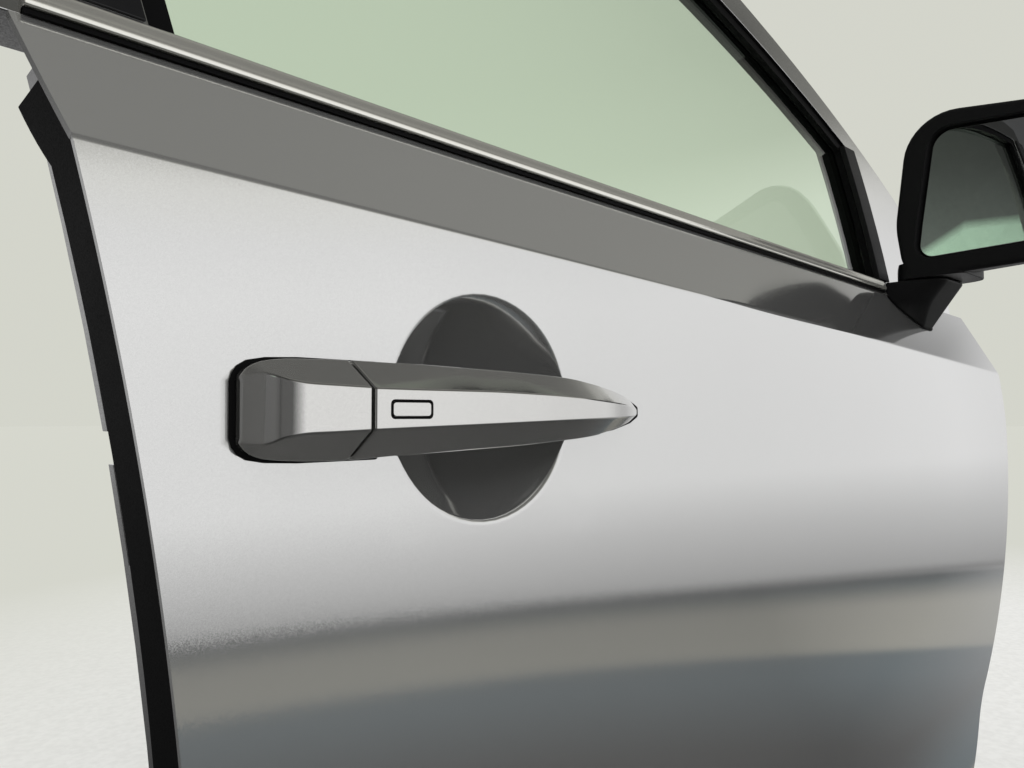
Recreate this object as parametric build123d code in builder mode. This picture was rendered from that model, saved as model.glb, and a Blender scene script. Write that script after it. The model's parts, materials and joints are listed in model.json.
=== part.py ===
from build123d import *
import os
from math import atan, cos, pi, radians, sin

# Front right-hand door of a compact crossover, with its window, door mirror, outside handle,
# inner trim and hinges. Millimetres, +X forward, +Y inboard, +Z up. The origin is the middle
# of the upper hinge's two pillar bolts, on the face that meets the pillar.
#
# The door is drawn about a datum of its own: x forward from the skin's rear edge at handle
# height, y inboard from the skin's outer face at the handle, z up from the handle's centre line.
REAR_X = -1096.0
SKIN_Y = -78.0
HANDLE_Z = -45.0

# Door shell
BELT_Z = 148.0
BELT_FALL = 0.0274
BELT_LEVEL_X = 256.0
BELT_Y = 50.0
SILL_Z = -480.0
SKIN_T = 3.0
PANEL_T = 3.0
INNER_Y = 112.0
HEM = 18.0
FRONT_FACE_X = 1030.0
PLAN_CREST_X = 350.0
PLAN_R = 20000.0
CREASE_REAR_Z = 98.0
CREASE_FALL = 0.0426
REAR_CORNER_R = 45.0
FRONT_CORNER_R = 75.0
LEAST_CORNER_R = 12.0
SEAT = 0.3

# Side glass and its frame lie on barrels about one axis, this far apart
GLASS_R = 2000.0
GLASS_T = 4.0
GLASS_BELT_Y = 62.0
GLASS_BELT_TILT = 8.0
FRAME_PROUD = 10.0
FRAME_DEPTH = 36.0
LIP_PROUD = 7.0
LIP_DEPTH = 16.0
LIP_W = 12.0
GLASS_BITE = 6.0
GLASS_DROP = 40.0

# Handle dish, handle and the cap behind it
DISH_X = 170.0
DISH_Z = 3.0
DISH_R = 57.5
DISH_DEPTH = 24.0
DISH_RIM_R = 2.5
GASKET_T = 1.2
SPLIT_X = 80.5
SPLIT_GAP = 1.6
PIVOT_X = 281.0
PIVOT_Y = 7.0
PIVOT_PIN_R = 2.0
RUN_GAP = 0.06

# Hinges
AXIS_X = 1058.0
AXIS_Y = 50.0
UPPER_Z = 45.0
LOWER_Z = -225.0
PIN_R = 5.0
BOSS_R = 12.0
LEAF_T = 5.0
LEAF_H = 60.0
PILLAR_Y = 78.0
PILLAR_BOLT_X = 1096.0
BOLT_SPACING = 36.0
BOLT_HOLE_R = 4.5

# Door mirror
MIRROR_X = 797.0
FOLD_X = 832.0
FOLD_Y = 2.0
FOLD_Z = 146.0
MIRROR_GLASS_T = 3.0

os.makedirs("parts", exist_ok=True)


def at(x, y, z):
    """A point of the door's datum, in the part's own frame."""
    return (REAR_X + x, SKIN_Y + y, HANDLE_Z + z)


def side(y=0.0):
    """Side view: local x forward, local y up. Extrudes outboard."""
    return Plane(origin=at(0, y, 0), x_dir=(1, 0, 0), z_dir=(0, -1, 0))


def section(x=0.0):
    """Cross section: local x inboard, local y up. Extrudes forward."""
    return Plane(origin=at(x, 0, 0), x_dir=(0, 1, 0), z_dir=(1, 0, 0))


def level(z=0.0):
    """Plan view: local x forward, local y inboard. Extrudes up."""
    return Plane(origin=at(0, 0, z), x_dir=(1, 0, 0), z_dir=(0, 0, 1))


def save(part, name):
    part.label = name
    export_step(part, f"parts/{name}.step")


# Side panel: the section's outer line at a station, from the sill up
STATIONS = (-60.0, 300.0, 700.0, 1110.0)
SILL_Y = 34.0
HOLLOW = (36.5, -415.0)
KNEE = (27.0, -344.0)
WIDEST = (0.0, -40.0)
CREASE_Y = 4.3
SHOULDER_SAG = 3.0


def plan_y(x):
    return (x - PLAN_CREST_X) ** 2 / (2 * PLAN_R)


def crease_z(x):
    return CREASE_REAR_Z - CREASE_FALL * x


def belt_z(x):
    """Height of the belt, which falls towards the front."""
    return BELT_Z - BELT_FALL * (x - BELT_LEVEL_X)


def skin_points(x, inward):
    """Sill, hollow, knee, widest, crease, mid shoulder and belt, moved inward."""
    y = plan_y(x) + inward
    crease = (CREASE_Y + y, crease_z(x))
    belt = (BELT_Y + inward, belt_z(x))
    shoulder = ((crease[0] + belt[0]) / 2 + SHOULDER_SAG, (crease[1] + belt[1]) / 2 - SHOULDER_SAG)
    return (
        (SILL_Y + y, SILL_Z),
        (HOLLOW[0] + y, HOLLOW[1]),
        (KNEE[0] + y, KNEE[1]),
        (WIDEST[0] + y, WIDEST[1]),
        crease,
        shoulder,
        belt,
    )


def skin_arcs(points):
    ThreePointArc(points[0], points[1], points[2])
    ThreePointArc(points[2], points[3], points[4])
    ThreePointArc(points[4], points[5], points[6])


def sheet_section(x, outer, inner):
    """Face between two copies of the skin's line."""
    a, b = skin_points(x, outer), skin_points(x, inner)
    with BuildSketch(section(x)) as made:
        with BuildLine():
            skin_arcs(a)
            Line(a[-1], b[-1])
            skin_arcs(b)
            Line(b[0], a[0])
        make_face()
    return made.sketch


def inboard_section(x, inward, back_y=INNER_Y):
    """Face from the skin's line to a flat back."""
    a = skin_points(x, inward)
    with BuildSketch(section(x)) as made:
        with BuildLine():
            skin_arcs(a)
            Polyline(a[-1], (back_y, belt_z(x)), (back_y, SILL_Z), a[0])
        make_face()
    return made.sketch


def lofted(sections):
    with BuildPart() as made:
        loft(sections=sections)
    return made.part


def inboard_of_skin(inward, back_y=INNER_Y):
    return lofted([inboard_section(x, inward, back_y) for x in STATIONS])


# Outline of the skin in side view
REAR_EDGE = ((-40.0, 175.0), (-1.0, 0.0), (40.0, SILL_Z))
FRONT_TOP = ((1004.0, 175.0), (1062.0, 85.0), (1090.0, -10.0))
FRONT_LOW = (1087.0, -220.0)
FRONT_SILL = (1062.0, SILL_Z)


def skin_outline():
    with BuildSketch(side()) as made:
        with BuildLine():
            ThreePointArc(*REAR_EDGE)
            Line(REAR_EDGE[2], FRONT_SILL)
            ThreePointArc(FRONT_SILL, FRONT_LOW, FRONT_TOP[2])
            ThreePointArc(FRONT_TOP[2], FRONT_TOP[1], FRONT_TOP[0])
            Line(FRONT_TOP[0], REAR_EDGE[0])
        make_face()
        fillet(made.vertices().group_by(Axis.Y)[0].sort_by(Axis.X)[0], radius=REAR_CORNER_R)
        fillet(made.vertices().group_by(Axis.Y)[0].sort_by(Axis.X)[-1], radius=FRONT_CORNER_R)
    return made.sketch


def under_belt(lift, low, x0=-200.0, x1=1300.0):
    """Corners, in side view, of all between a height and a line parallel to the belt."""
    return ((x0, low), (x1, low), (x1, belt_z(x1) + lift), (x0, belt_z(x0) + lift))


def below_belt(lift, y0=-300.0, y1=400.0):
    """Block of all that lies below a line parallel to the belt."""
    with BuildPart() as made:
        with BuildSketch(side(y1)):
            with BuildLine():
                Polyline(*under_belt(lift, SILL_Z - 50), close=True)
            make_face()
        extrude(amount=y1 - y0)
    return made.part


def shell_outline(inset=0.0, lift=-SEAT):
    """The pressed inner shell in side view: hemmed at the rear and sill, flat at the hinges."""
    rear = [(x + HEM + inset, z) for x, z in REAR_EDGE]
    front = FRONT_FACE_X - inset
    low = SILL_Z + HEM + inset
    with BuildSketch(side()) as made:
        with BuildLine():
            ThreePointArc(*rear)
            Polyline(rear[2], (front, rear[2][1]), (front, rear[0][1]), rear[0])
        make_face()
        with BuildLine():
            Polyline(*under_belt(lift, low), close=True)
        make_face(mode=Mode.INTERSECT)
        rear_r, front_r = (max(r - inset, LEAST_CORNER_R) for r in (REAR_CORNER_R, FRONT_CORNER_R))
        fillet(made.vertices().group_by(Axis.Y)[0].sort_by(Axis.X)[0], radius=rear_r)
        fillet(made.vertices().group_by(Axis.Y)[0].sort_by(Axis.X)[-1], radius=front_r)
    return made.sketch


# Handle and cap sections.
# Columns: x, top z, bottom z, y of the widest line, y of the face, face top z, face bottom z
GRIP_TABLE = (
    (SPLIT_X + SPLIT_GAP / 2, 21.2, -21.3, -14.0, -33.0, 8.9, -8.2),
    (104.0, 20.9, -20.0, -16.0, -34.2, 8.7, -7.5),
    (140.0, 20.2, -18.7, -18.7, -35.0, 8.6, -6.4),
    (172.0, 19.3, -17.5, -19.4, -34.9, 7.9, -5.4),
    (205.0, 18.0, -15.6, -18.2, -32.2, 6.6, -4.5),
    (235.0, 15.0, -13.5, -14.5, -26.5, 5.0, -3.8),
    (260.0, 11.5, -9.8, -9.8, -18.2, 3.5, -3.0),
    (276.0, 7.6, -6.2, -6.2, -11.0, 2.3, -2.4),
    (284.5, 3.3, -2.9, -3.0, -5.5, 1.1, -1.5),
)
CAP_TABLE = (
    (37.4, 13.6, -13.6, -3.0, -6.5, 12.6, -12.6),
    (39.6, 17.2, -17.2, -6.0, -17.5, 14.2, -13.8),
    (44.5, 19.5, -19.5, -9.0, -28.0, 12.0, -11.0),
    (53.0, 20.6, -20.5, -11.5, -31.4, 10.3, -9.4),
    (66.0, 21.0, -21.1, -13.0, -32.7, 9.7, -8.9),
    (SPLIT_X - SPLIT_GAP / 2, 21.2, -21.3, -14.0, -33.0, 9.2, -8.3),
)
FOOT_DRAW_IN = 0.9
LINER_Y = -16.5
FINGER_ARC = ((106.0, 0.0), (172.0, -16.0), (238.0, 0.0))


def bar_section(row, foot_y):
    x, top, bottom, wide_y, face_y, face_top, face_bottom = row
    with BuildSketch(section(x)) as made:
        with BuildLine():
            Polyline(
                (foot_y, top * FOOT_DRAW_IN),
                (wide_y, top),
                (face_y, face_top),
                (face_y, face_bottom),
                (wide_y, bottom),
                (foot_y, bottom * FOOT_DRAW_IN),
                close=True,
            )
        make_face()
    return made.sketch


def prism(points, x0, x1):
    """A polygon of the cross section, run from x0 to x1."""
    with BuildPart() as made:
        with BuildSketch(section(x0)):
            with BuildLine():
                Polyline(*points, close=True)
            make_face()
        extrude(amount=x1 - x0)
    return made.part


def block(x, y, z):
    """A block from three (low, high) pairs of the datum."""
    with BuildPart() as made:
        with Locations(at((x[0] + x[1]) / 2, (y[0] + y[1]) / 2, (z[0] + z[1]) / 2)):
            Box(x[1] - x[0], y[1] - y[0], z[1] - z[0])
    return made.part


def drum(x, y, z, radius):
    """An upright round bar at (x, y) of the datum between the heights in z."""
    with BuildPart() as made:
        with BuildSketch(level(z[0])):
            with Locations((x, y)):
                Circle(radius)
        extrude(amount=z[1] - z[0])
    return made.part


def plug(x, z, y, radius):
    """A round bar across the car at (x, z) of the datum between the depths in y."""
    with BuildPart() as made:
        with BuildSketch(side(y[1])):
            with Locations((x, z)):
                Circle(radius)
        extrude(amount=y[1] - y[0])
    return made.part


# Skin

PLAN_AT_DISH = plan_y(DISH_X)
DISH_BALL_R = (DISH_R**2 + DISH_DEPTH**2) / (2 * DISH_DEPTH)
DISH_CENTRE = at(DISH_X, PLAN_AT_DISH + DISH_DEPTH - DISH_BALL_R, DISH_Z)
LEG_X = (84.0, 96.0)
LEG_Z = (-7.0, 7.0)
LEG_END_Y = 56.0
LUG_R = 3.5
LUG_Z = (-2.6, 2.6)
SLOT_CLEAR = 2.3
LEG_SLOT = ((LEG_X[0] - 5.0, LEG_X[1] + 3.4), (LEG_Z[0] - SLOT_CLEAR, LEG_Z[1] + SLOT_CLEAR))
LUG_SLOT = ((PIVOT_X - 6.5, PIVOT_X + 6.3), (LUG_Z[0] - SLOT_CLEAR, LUG_Z[1] + SLOT_CLEAR))


def dish_ball(radius):
    with BuildPart() as made:
        with Locations(DISH_CENTRE):
            Sphere(radius)
    return made.part


behind_skin_face = inboard_of_skin(0.0)

with BuildPart() as outer_skin:
    loft(sections=[sheet_section(x, 0.0, SKIN_T) for x in STATIONS])
    add(dish_ball(DISH_BALL_R + SKIN_T) & behind_skin_face)
    add(dish_ball(DISH_BALL_R), mode=Mode.SUBTRACT)
    rim = [
        e
        for e in outer_skin.edges()
        if abs(e.length - 2 * pi * DISH_R) < 0.25 * 2 * pi * DISH_R
        and abs(e.center().Y - SKIN_Y) < 2 * SKIN_T
    ]
    fillet(sorted(rim, key=lambda e: e.center().Y)[0], radius=DISH_RIM_R)
    extrude(skin_outline(), amount=200, both=True, mode=Mode.INTERSECT)
    for slot_x, slot_z in (LEG_SLOT, LUG_SLOT):
        add(block(slot_x, (-20, 20), slot_z), mode=Mode.SUBTRACT)
save(outer_skin.part, "outer_skin")


# Inner shell: a pressed tray behind the skin, with a hem flange and a slot for the glass

TRAY_FACE = SKIN_T + SEAT
FLANGE_T = 2.0
FLANGE_EDGE = 7.0
GLASS_SLOT = ((18.0, 806.0), (54.5, 78.0))
SPEAKER_X = 875.0
SPEAKER_Z = -325.0
SPEAKER_R = 82.0
SERVICE = ((190.0, 690.0), (-300.0, -150.0))
LATCH_Z = (-75.0, 35.0)
LATCH_Y = (62.0, 108.0)
LATCH_FACE_Y = (67.0, 104.0)
MOUTH_Z = (-26.0, -10.0)
MOUTH_Y = 76.0


def depth_prism(outline, y0, y1):
    """A side view outline, run between two depths of the datum."""
    with BuildPart() as made:
        extrude(outline.moved(Location((0, y1, 0))), amount=y1 - y0)
    return made.part


behind_panel = inboard_of_skin(TRAY_FACE)
behind_flange = inboard_of_skin(TRAY_FACE + FLANGE_T, INNER_Y + 20)

with BuildPart() as inner_shell:
    add(behind_panel)
    add(depth_prism(offset(skin_outline(), -FLANGE_EDGE), -60, INNER_Y), mode=Mode.INTERSECT)
    add(behind_flange - depth_prism(shell_outline(), -100, 300), mode=Mode.SUBTRACT)
    add(below_belt(-SEAT), mode=Mode.INTERSECT)
    hollow = shell_outline(PANEL_T, -SEAT - PANEL_T)
    add(depth_prism(hollow, -60, INNER_Y - PANEL_T), mode=Mode.SUBTRACT)
    add(block(GLASS_SLOT[0], GLASS_SLOT[1], (BELT_Z - 28, BELT_Z + 16)), mode=Mode.SUBTRACT)
    add(block(SERVICE[0], (INNER_Y - 9, INNER_Y + 9), SERVICE[1]), mode=Mode.SUBTRACT)
    add(plug(SPEAKER_X, SPEAKER_Z, (INNER_Y - 9, INNER_Y + 9), SPEAKER_R - 6), mode=Mode.SUBTRACT)
    add(block((-40, 60), LATCH_FACE_Y, LATCH_Z), mode=Mode.SUBTRACT)
    add(block((-40, 60), (MOUTH_Y, INNER_Y + 9), MOUTH_Z), mode=Mode.SUBTRACT)
save(inner_shell.part, "inner_shell")

# Latch: its body behind the shell's rear wall, its face filling the wall's window

with BuildPart() as latch:
    add(depth_prism(shell_outline(PANEL_T + SEAT), *LATCH_Y) & block((-40, 62), LATCH_Y, LATCH_Z))
    face_y = (LATCH_FACE_Y[0] + SEAT, LATCH_FACE_Y[1] - SEAT)
    face_z = (LATCH_Z[0] + SEAT, LATCH_Z[1] - SEAT)
    add(depth_prism(shell_outline(0.5), *face_y) & block((-40, 62), face_y, face_z))
    add(block((-40, 44), (MOUTH_Y + 2, 200), MOUTH_Z), mode=Mode.SUBTRACT)
save(latch.part, "latch")

# Seals of the shell: a lip in the rear shut gap, and a bulb on the inner face clear of the latch

SEAL_INSET = (30.0, 42.0)
SEAL_T = 10.0
REAR_LIP_X = 14.5
REAR_LIP_DEPTH = 42.0
REAR_LIP_Z = (-440.0, 130.0)

with BuildPart() as rear_edge_seal:
    flange_face = TRAY_FACE + FLANGE_T
    lip = inboard_of_skin(flange_face + SEAT, 200) - inboard_of_skin(flange_face + REAR_LIP_DEPTH, 200)
    add(lip & block((-80, 200), (-60, 200), REAR_LIP_Z))
    add(depth_prism(shell_outline(-REAR_LIP_X), -60, 200), mode=Mode.INTERSECT)
    add(depth_prism(shell_outline(-SEAT), -60, 200), mode=Mode.SUBTRACT)
save(rear_edge_seal.part, "rear_edge_seal")

with BuildPart() as perimeter_seal:
    seal_y = (INNER_Y + SEAT, INNER_Y + SEAT + SEAL_T)
    add(depth_prism(shell_outline(SEAL_INSET[0]), *seal_y))
    add(depth_prism(shell_outline(SEAL_INSET[1], 60), *seal_y), mode=Mode.SUBTRACT)
save(perimeter_seal.part, "perimeter_seal")

# Window frame, glass and channel, all on barrels about one axis

BARREL_Y = GLASS_BELT_Y + GLASS_R * cos(radians(GLASS_BELT_TILT))
BARREL_LIFT = -GLASS_R * sin(radians(GLASS_BELT_TILT))
BELT_ANGLE = atan(BELT_FALL)
FRAME_HIGH = 620.0
ROOF_LINE = ((-62.0, 585.0), (500.0, 468.0), (985.0, 190.0))
FRAME_BACK = ((-122.0, 583.0), (-32.0, 100.0))
FRAME_TOE = ((1006.0, 160.0), (1006.0, 100.0))
DLO_ROOF = ((-72.0, 547.0), (470.0, 437.0), (776.0, 303.0))
DLO_BACK = (24.0, 148.0)
DLO_FRONT = (797.0, 148.0)


def across_belt(x):
    """Cross section square to the belt, its origin on the belt: local x inboard, local y up."""
    along_belt = (cos(BELT_ANGLE), 0, -sin(BELT_ANGLE))
    return Plane(origin=at(x, 0, belt_z(x)), x_dir=(0, 1, 0), z_dir=along_belt)


def barrel(proud, depth, x0, x1, lift=SEAT, high=FRAME_HIGH):
    """Sheet parallel to the glass above the belt, from proud of its face to a depth behind it."""
    with BuildPart() as made:
        with BuildSketch(across_belt(x0)):
            with Locations((BARREL_Y, BARREL_LIFT)):
                Circle(GLASS_R + proud)
                Circle(GLASS_R - depth, mode=Mode.SUBTRACT)
            with Locations((90, high / 2)):
                Rectangle(300, high + 240, mode=Mode.INTERSECT)
        extrude(amount=x1 - x0)
        add(below_belt(lift), mode=Mode.SUBTRACT)
    return made.part


def frame_outline(grow=0.0):
    with BuildSketch(side()) as made:
        with BuildLine():
            ThreePointArc(*ROOF_LINE)
            Polyline(ROOF_LINE[2], FRAME_TOE[0], FRAME_TOE[1], FRAME_BACK[1], FRAME_BACK[0], ROOF_LINE[0])
        make_face()
    return offset(made.sketch, grow) if grow else made.sketch


def along(a, b, z):
    """The x at height z of the line through two points of the side view."""
    return a[0] + (b[0] - a[0]) * (z - a[1]) / (b[1] - a[1])


def window_outline(inset=0.0):
    """Opening of the frame, run on below the belt."""
    low = BELT_Z - 90
    back_low = (along(DLO_ROOF[0], DLO_BACK, low), low)
    front_low = (along(DLO_ROOF[2], DLO_FRONT, low), low)
    with BuildSketch(side()) as made:
        with BuildLine():
            ThreePointArc(*DLO_ROOF)
            Polyline(DLO_ROOF[2], front_low, back_low, DLO_ROOF[0])
        make_face()
    return offset(made.sketch, -inset, kind=Kind.INTERSECTION) if inset else made.sketch


def window_prism(inset=0.0):
    return depth_prism(window_outline(inset), -100, 300)


with BuildPart() as window_frame:
    add(barrel(FRAME_PROUD, FRAME_DEPTH - FRAME_PROUD, -140, 1020))
    add(depth_prism(frame_outline(), -100, 300), mode=Mode.INTERSECT)
    add(window_prism(), mode=Mode.SUBTRACT)
save(window_frame.part, "window_frame")

GROOVE = 0.3
GLASS_INSET = LIP_W - GLASS_BITE

with BuildPart() as run_channel:
    add(barrel(LIP_PROUD, LIP_DEPTH - LIP_PROUD, -140, 1020))
    add(window_prism(SEAT), mode=Mode.INTERSECT)
    add(window_prism(LIP_W), mode=Mode.SUBTRACT)
    groove = barrel(GROOVE, GLASS_T + GROOVE, -140, 1020, -60)
    add(groove & window_prism(GLASS_INSET - GROOVE), mode=Mode.SUBTRACT)
save(run_channel.part, "run_channel")

with BuildPart() as window_glass:
    add(barrel(0, GLASS_T, -140, 1020, -GLASS_DROP))
    add(window_prism(GLASS_INSET), mode=Mode.INTERSECT)
save(window_glass.part, "window_glass")

FRAME_SEAL_W = 6.0

with BuildPart() as frame_seal:
    add(barrel(-12, FRAME_DEPTH - FRAME_PROUD - 3, -160, 1060, SEAT + 20, FRAME_HIGH + 20))
    ring = depth_prism(frame_outline(FRAME_SEAL_W), -100, 300) - depth_prism(frame_outline(SEAT), -100, 300)
    add(ring, mode=Mode.INTERSECT)
save(frame_seal.part, "frame_seal")

# Black post in front of the glass, and the panel on the rear sash

POST_BACK = 785.0
POST_W = 27.0
TRIM_STAND = 3.0
POST_LEAN = (DLO_ROOF[2][0] - DLO_FRONT[0]) / (DLO_ROOF[2][1] - DLO_FRONT[1])
POST_TOP = 300.0


def post_outline(back, front, top):
    """A strip leaning with the front of the window, between two x at the belt's level point."""
    low = BELT_Z - 40
    up, down = POST_LEAN * (top - BELT_Z), POST_LEAN * (low - BELT_Z)
    with BuildSketch(side()) as made:
        with BuildLine():
            Polyline((back + down, low), (front + down, low), (front + up, top), (back + up, top), close=True)
        make_face()
    return made.sketch


with BuildPart() as front_post:
    over_frame = depth_prism(post_outline(DLO_FRONT[0], POST_BACK + POST_W, POST_TOP), -100, 300)
    over_channel = depth_prism(post_outline(POST_BACK, DLO_FRONT[0], POST_TOP), -100, 300)
    stand = FRAME_PROUD + SEAT + TRIM_STAND
    add(barrel(stand, -FRAME_PROUD - SEAT, 700, 900, 15) & over_frame)
    add(barrel(stand, -LIP_PROUD - SEAT, 700, 900, 15) & over_channel)
save(front_post.part, "front_post")

with BuildPart() as pillar_garnish:
    add(barrel(FRAME_PROUD + SEAT + TRIM_STAND, -FRAME_PROUD - SEAT, -140, 60, 15))
    with BuildSketch(side(-100)):
        with BuildLine():
            sash = [(along(FRAME_BACK[1], FRAME_BACK[0], z) + 4, z) for z in (100.0, 545.0)]
            lead = [(along(DLO_BACK, DLO_ROOF[0], z) - 2, z) for z in (545.0, 100.0)]
            Polyline(*sash, *lead, close=True)
        make_face()
    extrude(amount=-400, mode=Mode.INTERSECT)
save(pillar_garnish.part, "pillar_garnish")

# Belt: bright moulding over a black lip outboard of the glass, and a wiper inboard

MOULDING_X = (-30.0, 794.0)
WIPER_X = (37.5, 781.0)


def belt_strip(points, x0, x1):
    """A strip along the belt, its section given as inboard and above the belt."""
    with BuildPart() as made:
        with BuildSketch(across_belt(x0)):
            with BuildLine():
                Polyline(*points, close=True)
            make_face()
        extrude(amount=(x1 - x0) / cos(BELT_ANGLE))
    return made.part


with BuildPart() as belt_moulding:
    bright = (
        (47.5, 4.8),
        (57.6, 4.8),
        (57.6, 12.0),
        (55.8, 14.2),
        (51.0, 14.2),
        (48.6, 12.0),
        (47.2, 6.5),
    )
    add(belt_strip(bright, *MOULDING_X))
    fillet(belt_moulding.edges().sort_by(SortBy.LENGTH)[-len(bright):], radius=0.9)
    add(barrel(FRAME_PROUD + SEAT, 40, -140, WIPER_X[0], -5), mode=Mode.SUBTRACT)
    add(barrel(FRAME_PROUD + SEAT, 40, WIPER_X[1], 1020, -5), mode=Mode.SUBTRACT)
save(belt_moulding.part, "belt_moulding")

with BuildPart() as belt_seal_outer:
    lip = ((48.2, SEAT), (60.0, SEAT), (63.0, 10.0), (60.0, 10.5), (58.0, 4.5), (48.2, 4.5))
    add(belt_strip(lip, *WIPER_X))
    base = ((48.2, SEAT), (51.7, SEAT), (51.7, 4.5), (48.2, 4.5))
    add(belt_strip(base, *MOULDING_X))
save(belt_seal_outer.part, "belt_seal_outer")

with BuildPart() as belt_seal_inner:
    wiper = ((69.0, SEAT), (79.0, SEAT), (79.0, 4.0), (72.5, 5.0), (70.5, 10.0), (67.8, 10.0))
    add(belt_strip(wiper, *WIPER_X))
save(belt_seal_inner.part, "belt_seal_inner")

# Outside handle: a fixed cap, and a grip that swings on a pin behind its tip

GRIP_CLEAR = 3.0
BUTTON_X = (88.2, 109.2)
BUTTON_Z = (-3.8, 4.4)
BUTTON_LINE = 0.5
BUTTON_T = 4.0
CAP_PAD = ((35.2, 11.5), (36.3, 15.0), (38.4, 17.9), (42.5, 20.4), (50, 21.8), (64.5, 22.5), (104, 22.3))
PAD_CORNER = 1.6
TIP_PAD = ((250, 13.5), (268, 11.0), (284, 7.0), (291.5, 3.0))
over_pads = inboard_of_skin(-2 * SEAT - GASKET_T)
pad_sheet = inboard_of_skin(-SEAT - GASKET_T) - inboard_of_skin(-SEAT)


def side_polygon(points, corner=0.0):
    """Closed outline in side view with its corners rounded."""
    with BuildSketch(side()) as made:
        with BuildLine():
            Polyline(*points, close=True)
        make_face()
        if corner:
            fillet(made.vertices(), radius=corner)
    return made.sketch


for name, half, slot in (
    ("handle_cap_gasket", CAP_PAD, LEG_SLOT),
    ("handle_tip_gasket", TIP_PAD, LUG_SLOT),
):
    outline = half + tuple((x, -z) for x, z in reversed(half))
    with BuildPart() as gasket:
        add(pad_sheet & depth_prism(side_polygon(outline, PAD_CORNER), -60, 60))
        add(block(slot[0], (-20, 20), slot[1]), mode=Mode.SUBTRACT)
    save(gasket.part, name)

with BuildPart() as handle_cap:
    loft(sections=[bar_section(row, 8.0) for row in CAP_TABLE])
    add(over_pads, mode=Mode.SUBTRACT)
save(handle_cap.part, "handle_cap")

with BuildPart() as grip_form:
    loft(sections=[bar_section(row, 8.0) for row in GRIP_TABLE])
    add(inboard_of_skin(-GRIP_CLEAR), mode=Mode.SUBTRACT)
    with BuildSketch(level(-40)):
        with BuildLine():
            ThreePointArc(*FINGER_ARC)
            Polyline(FINGER_ARC[2], (FINGER_ARC[2][0], 20), (FINGER_ARC[0][0], 20), FINGER_ARC[0])
        make_face()
    extrude(amount=80, mode=Mode.SUBTRACT)

LINER_X = (103.0, 241.0)


def button_prism(line):
    """Rounded key in the grip's face, smaller all round by a line."""
    x, z = (BUTTON_X[0] + BUTTON_X[1]) / 2, (BUTTON_Z[0] + BUTTON_Z[1]) / 2
    with BuildPart() as made:
        with BuildSketch(side(-34.0 + BUTTON_T + 2 - line)):
            with Locations((x, z)):
                width, height = BUTTON_X[1] - BUTTON_X[0], BUTTON_Z[1] - BUTTON_Z[0]
                RectangleRounded(width - 2 * line, height - 2 * line, 2.0)
        extrude(amount=40)
    return made.part


with BuildPart() as handle_grip:
    add(grip_form.part)
    add(block(LINER_X, (LINER_Y, 20), (-40, 40)), mode=Mode.SUBTRACT)
    add(button_prism(0.0), mode=Mode.SUBTRACT)
    add(block(LEG_X, (-14, LEG_END_Y), LEG_Z))
    add(block((LEG_X[0], LEG_X[1] + 12), (LEG_END_Y - 6, LEG_END_Y), LEG_Z))
    add(block((PIVOT_X - LUG_R, PIVOT_X + LUG_R), (-5, PIVOT_Y), LUG_Z))
    add(drum(PIVOT_X, PIVOT_Y, LUG_Z, LUG_R))
    add(drum(PIVOT_X, PIVOT_Y, (-8.4, 8.4), PIVOT_PIN_R))
save(handle_grip.part, "handle_grip")

with BuildPart() as handle_grip_liner:
    add(grip_form.part)
    liner_x = (LINER_X[0] + SEAT, LINER_X[1] - SEAT)
    add(block(liner_x, (LINER_Y + SEAT, 20), (-40, 40)), mode=Mode.INTERSECT)
save(handle_grip_liner.part, "handle_grip_liner")

with BuildPart() as request_button:
    add(grip_form.part & button_prism(BUTTON_LINE))
save(request_button.part, "request_button")

BRACKET_X = (262.0, 300.0)
BRACKET_Z = 16.0

with BuildPart() as handle_pivot_bracket:
    add(behind_panel - inboard_of_skin(TRAY_FACE + 3))
    add(block(BRACKET_X, (-60, 60), (-BRACKET_Z, BRACKET_Z)), mode=Mode.INTERSECT)
    add(block(LUG_SLOT[0], (-60, 60), LUG_SLOT[1]), mode=Mode.SUBTRACT)
    for low in (LUG_Z[1] + 0.8, -LUG_Z[1] - 5.8):
        add(block((PIVOT_X - 6.5, PIVOT_X + 6.5), (5.0, PIVOT_Y + 5), (low, low + 5)))
    add(drum(PIVOT_X, PIVOT_Y, (-9, 9), PIVOT_PIN_R + RUN_GAP), mode=Mode.SUBTRACT)
save(handle_pivot_bracket.part, "handle_pivot_bracket")

# Hinges: a leaf on the pillar, a leaf with the pin on the door

LUG_IN = 20.0
LUG_OUT = 29.0
DOOR_LUG = 18.9
DOOR_LEAF_Y = (34.0, 86.0)


def knuckle(foot_x, foot_y, foot_size, z):
    """Flat lug from the hinge axis to a foot on a leaf's plate."""
    with BuildPart() as made:
        with BuildSketch(level(z[0])):
            with Locations((AXIS_X, AXIS_Y)):
                Circle(BOSS_R)
            with Locations((foot_x, foot_y)):
                Rectangle(*foot_size)
            make_hull()
        extrude(amount=z[1] - z[0])
    return made.part


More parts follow.
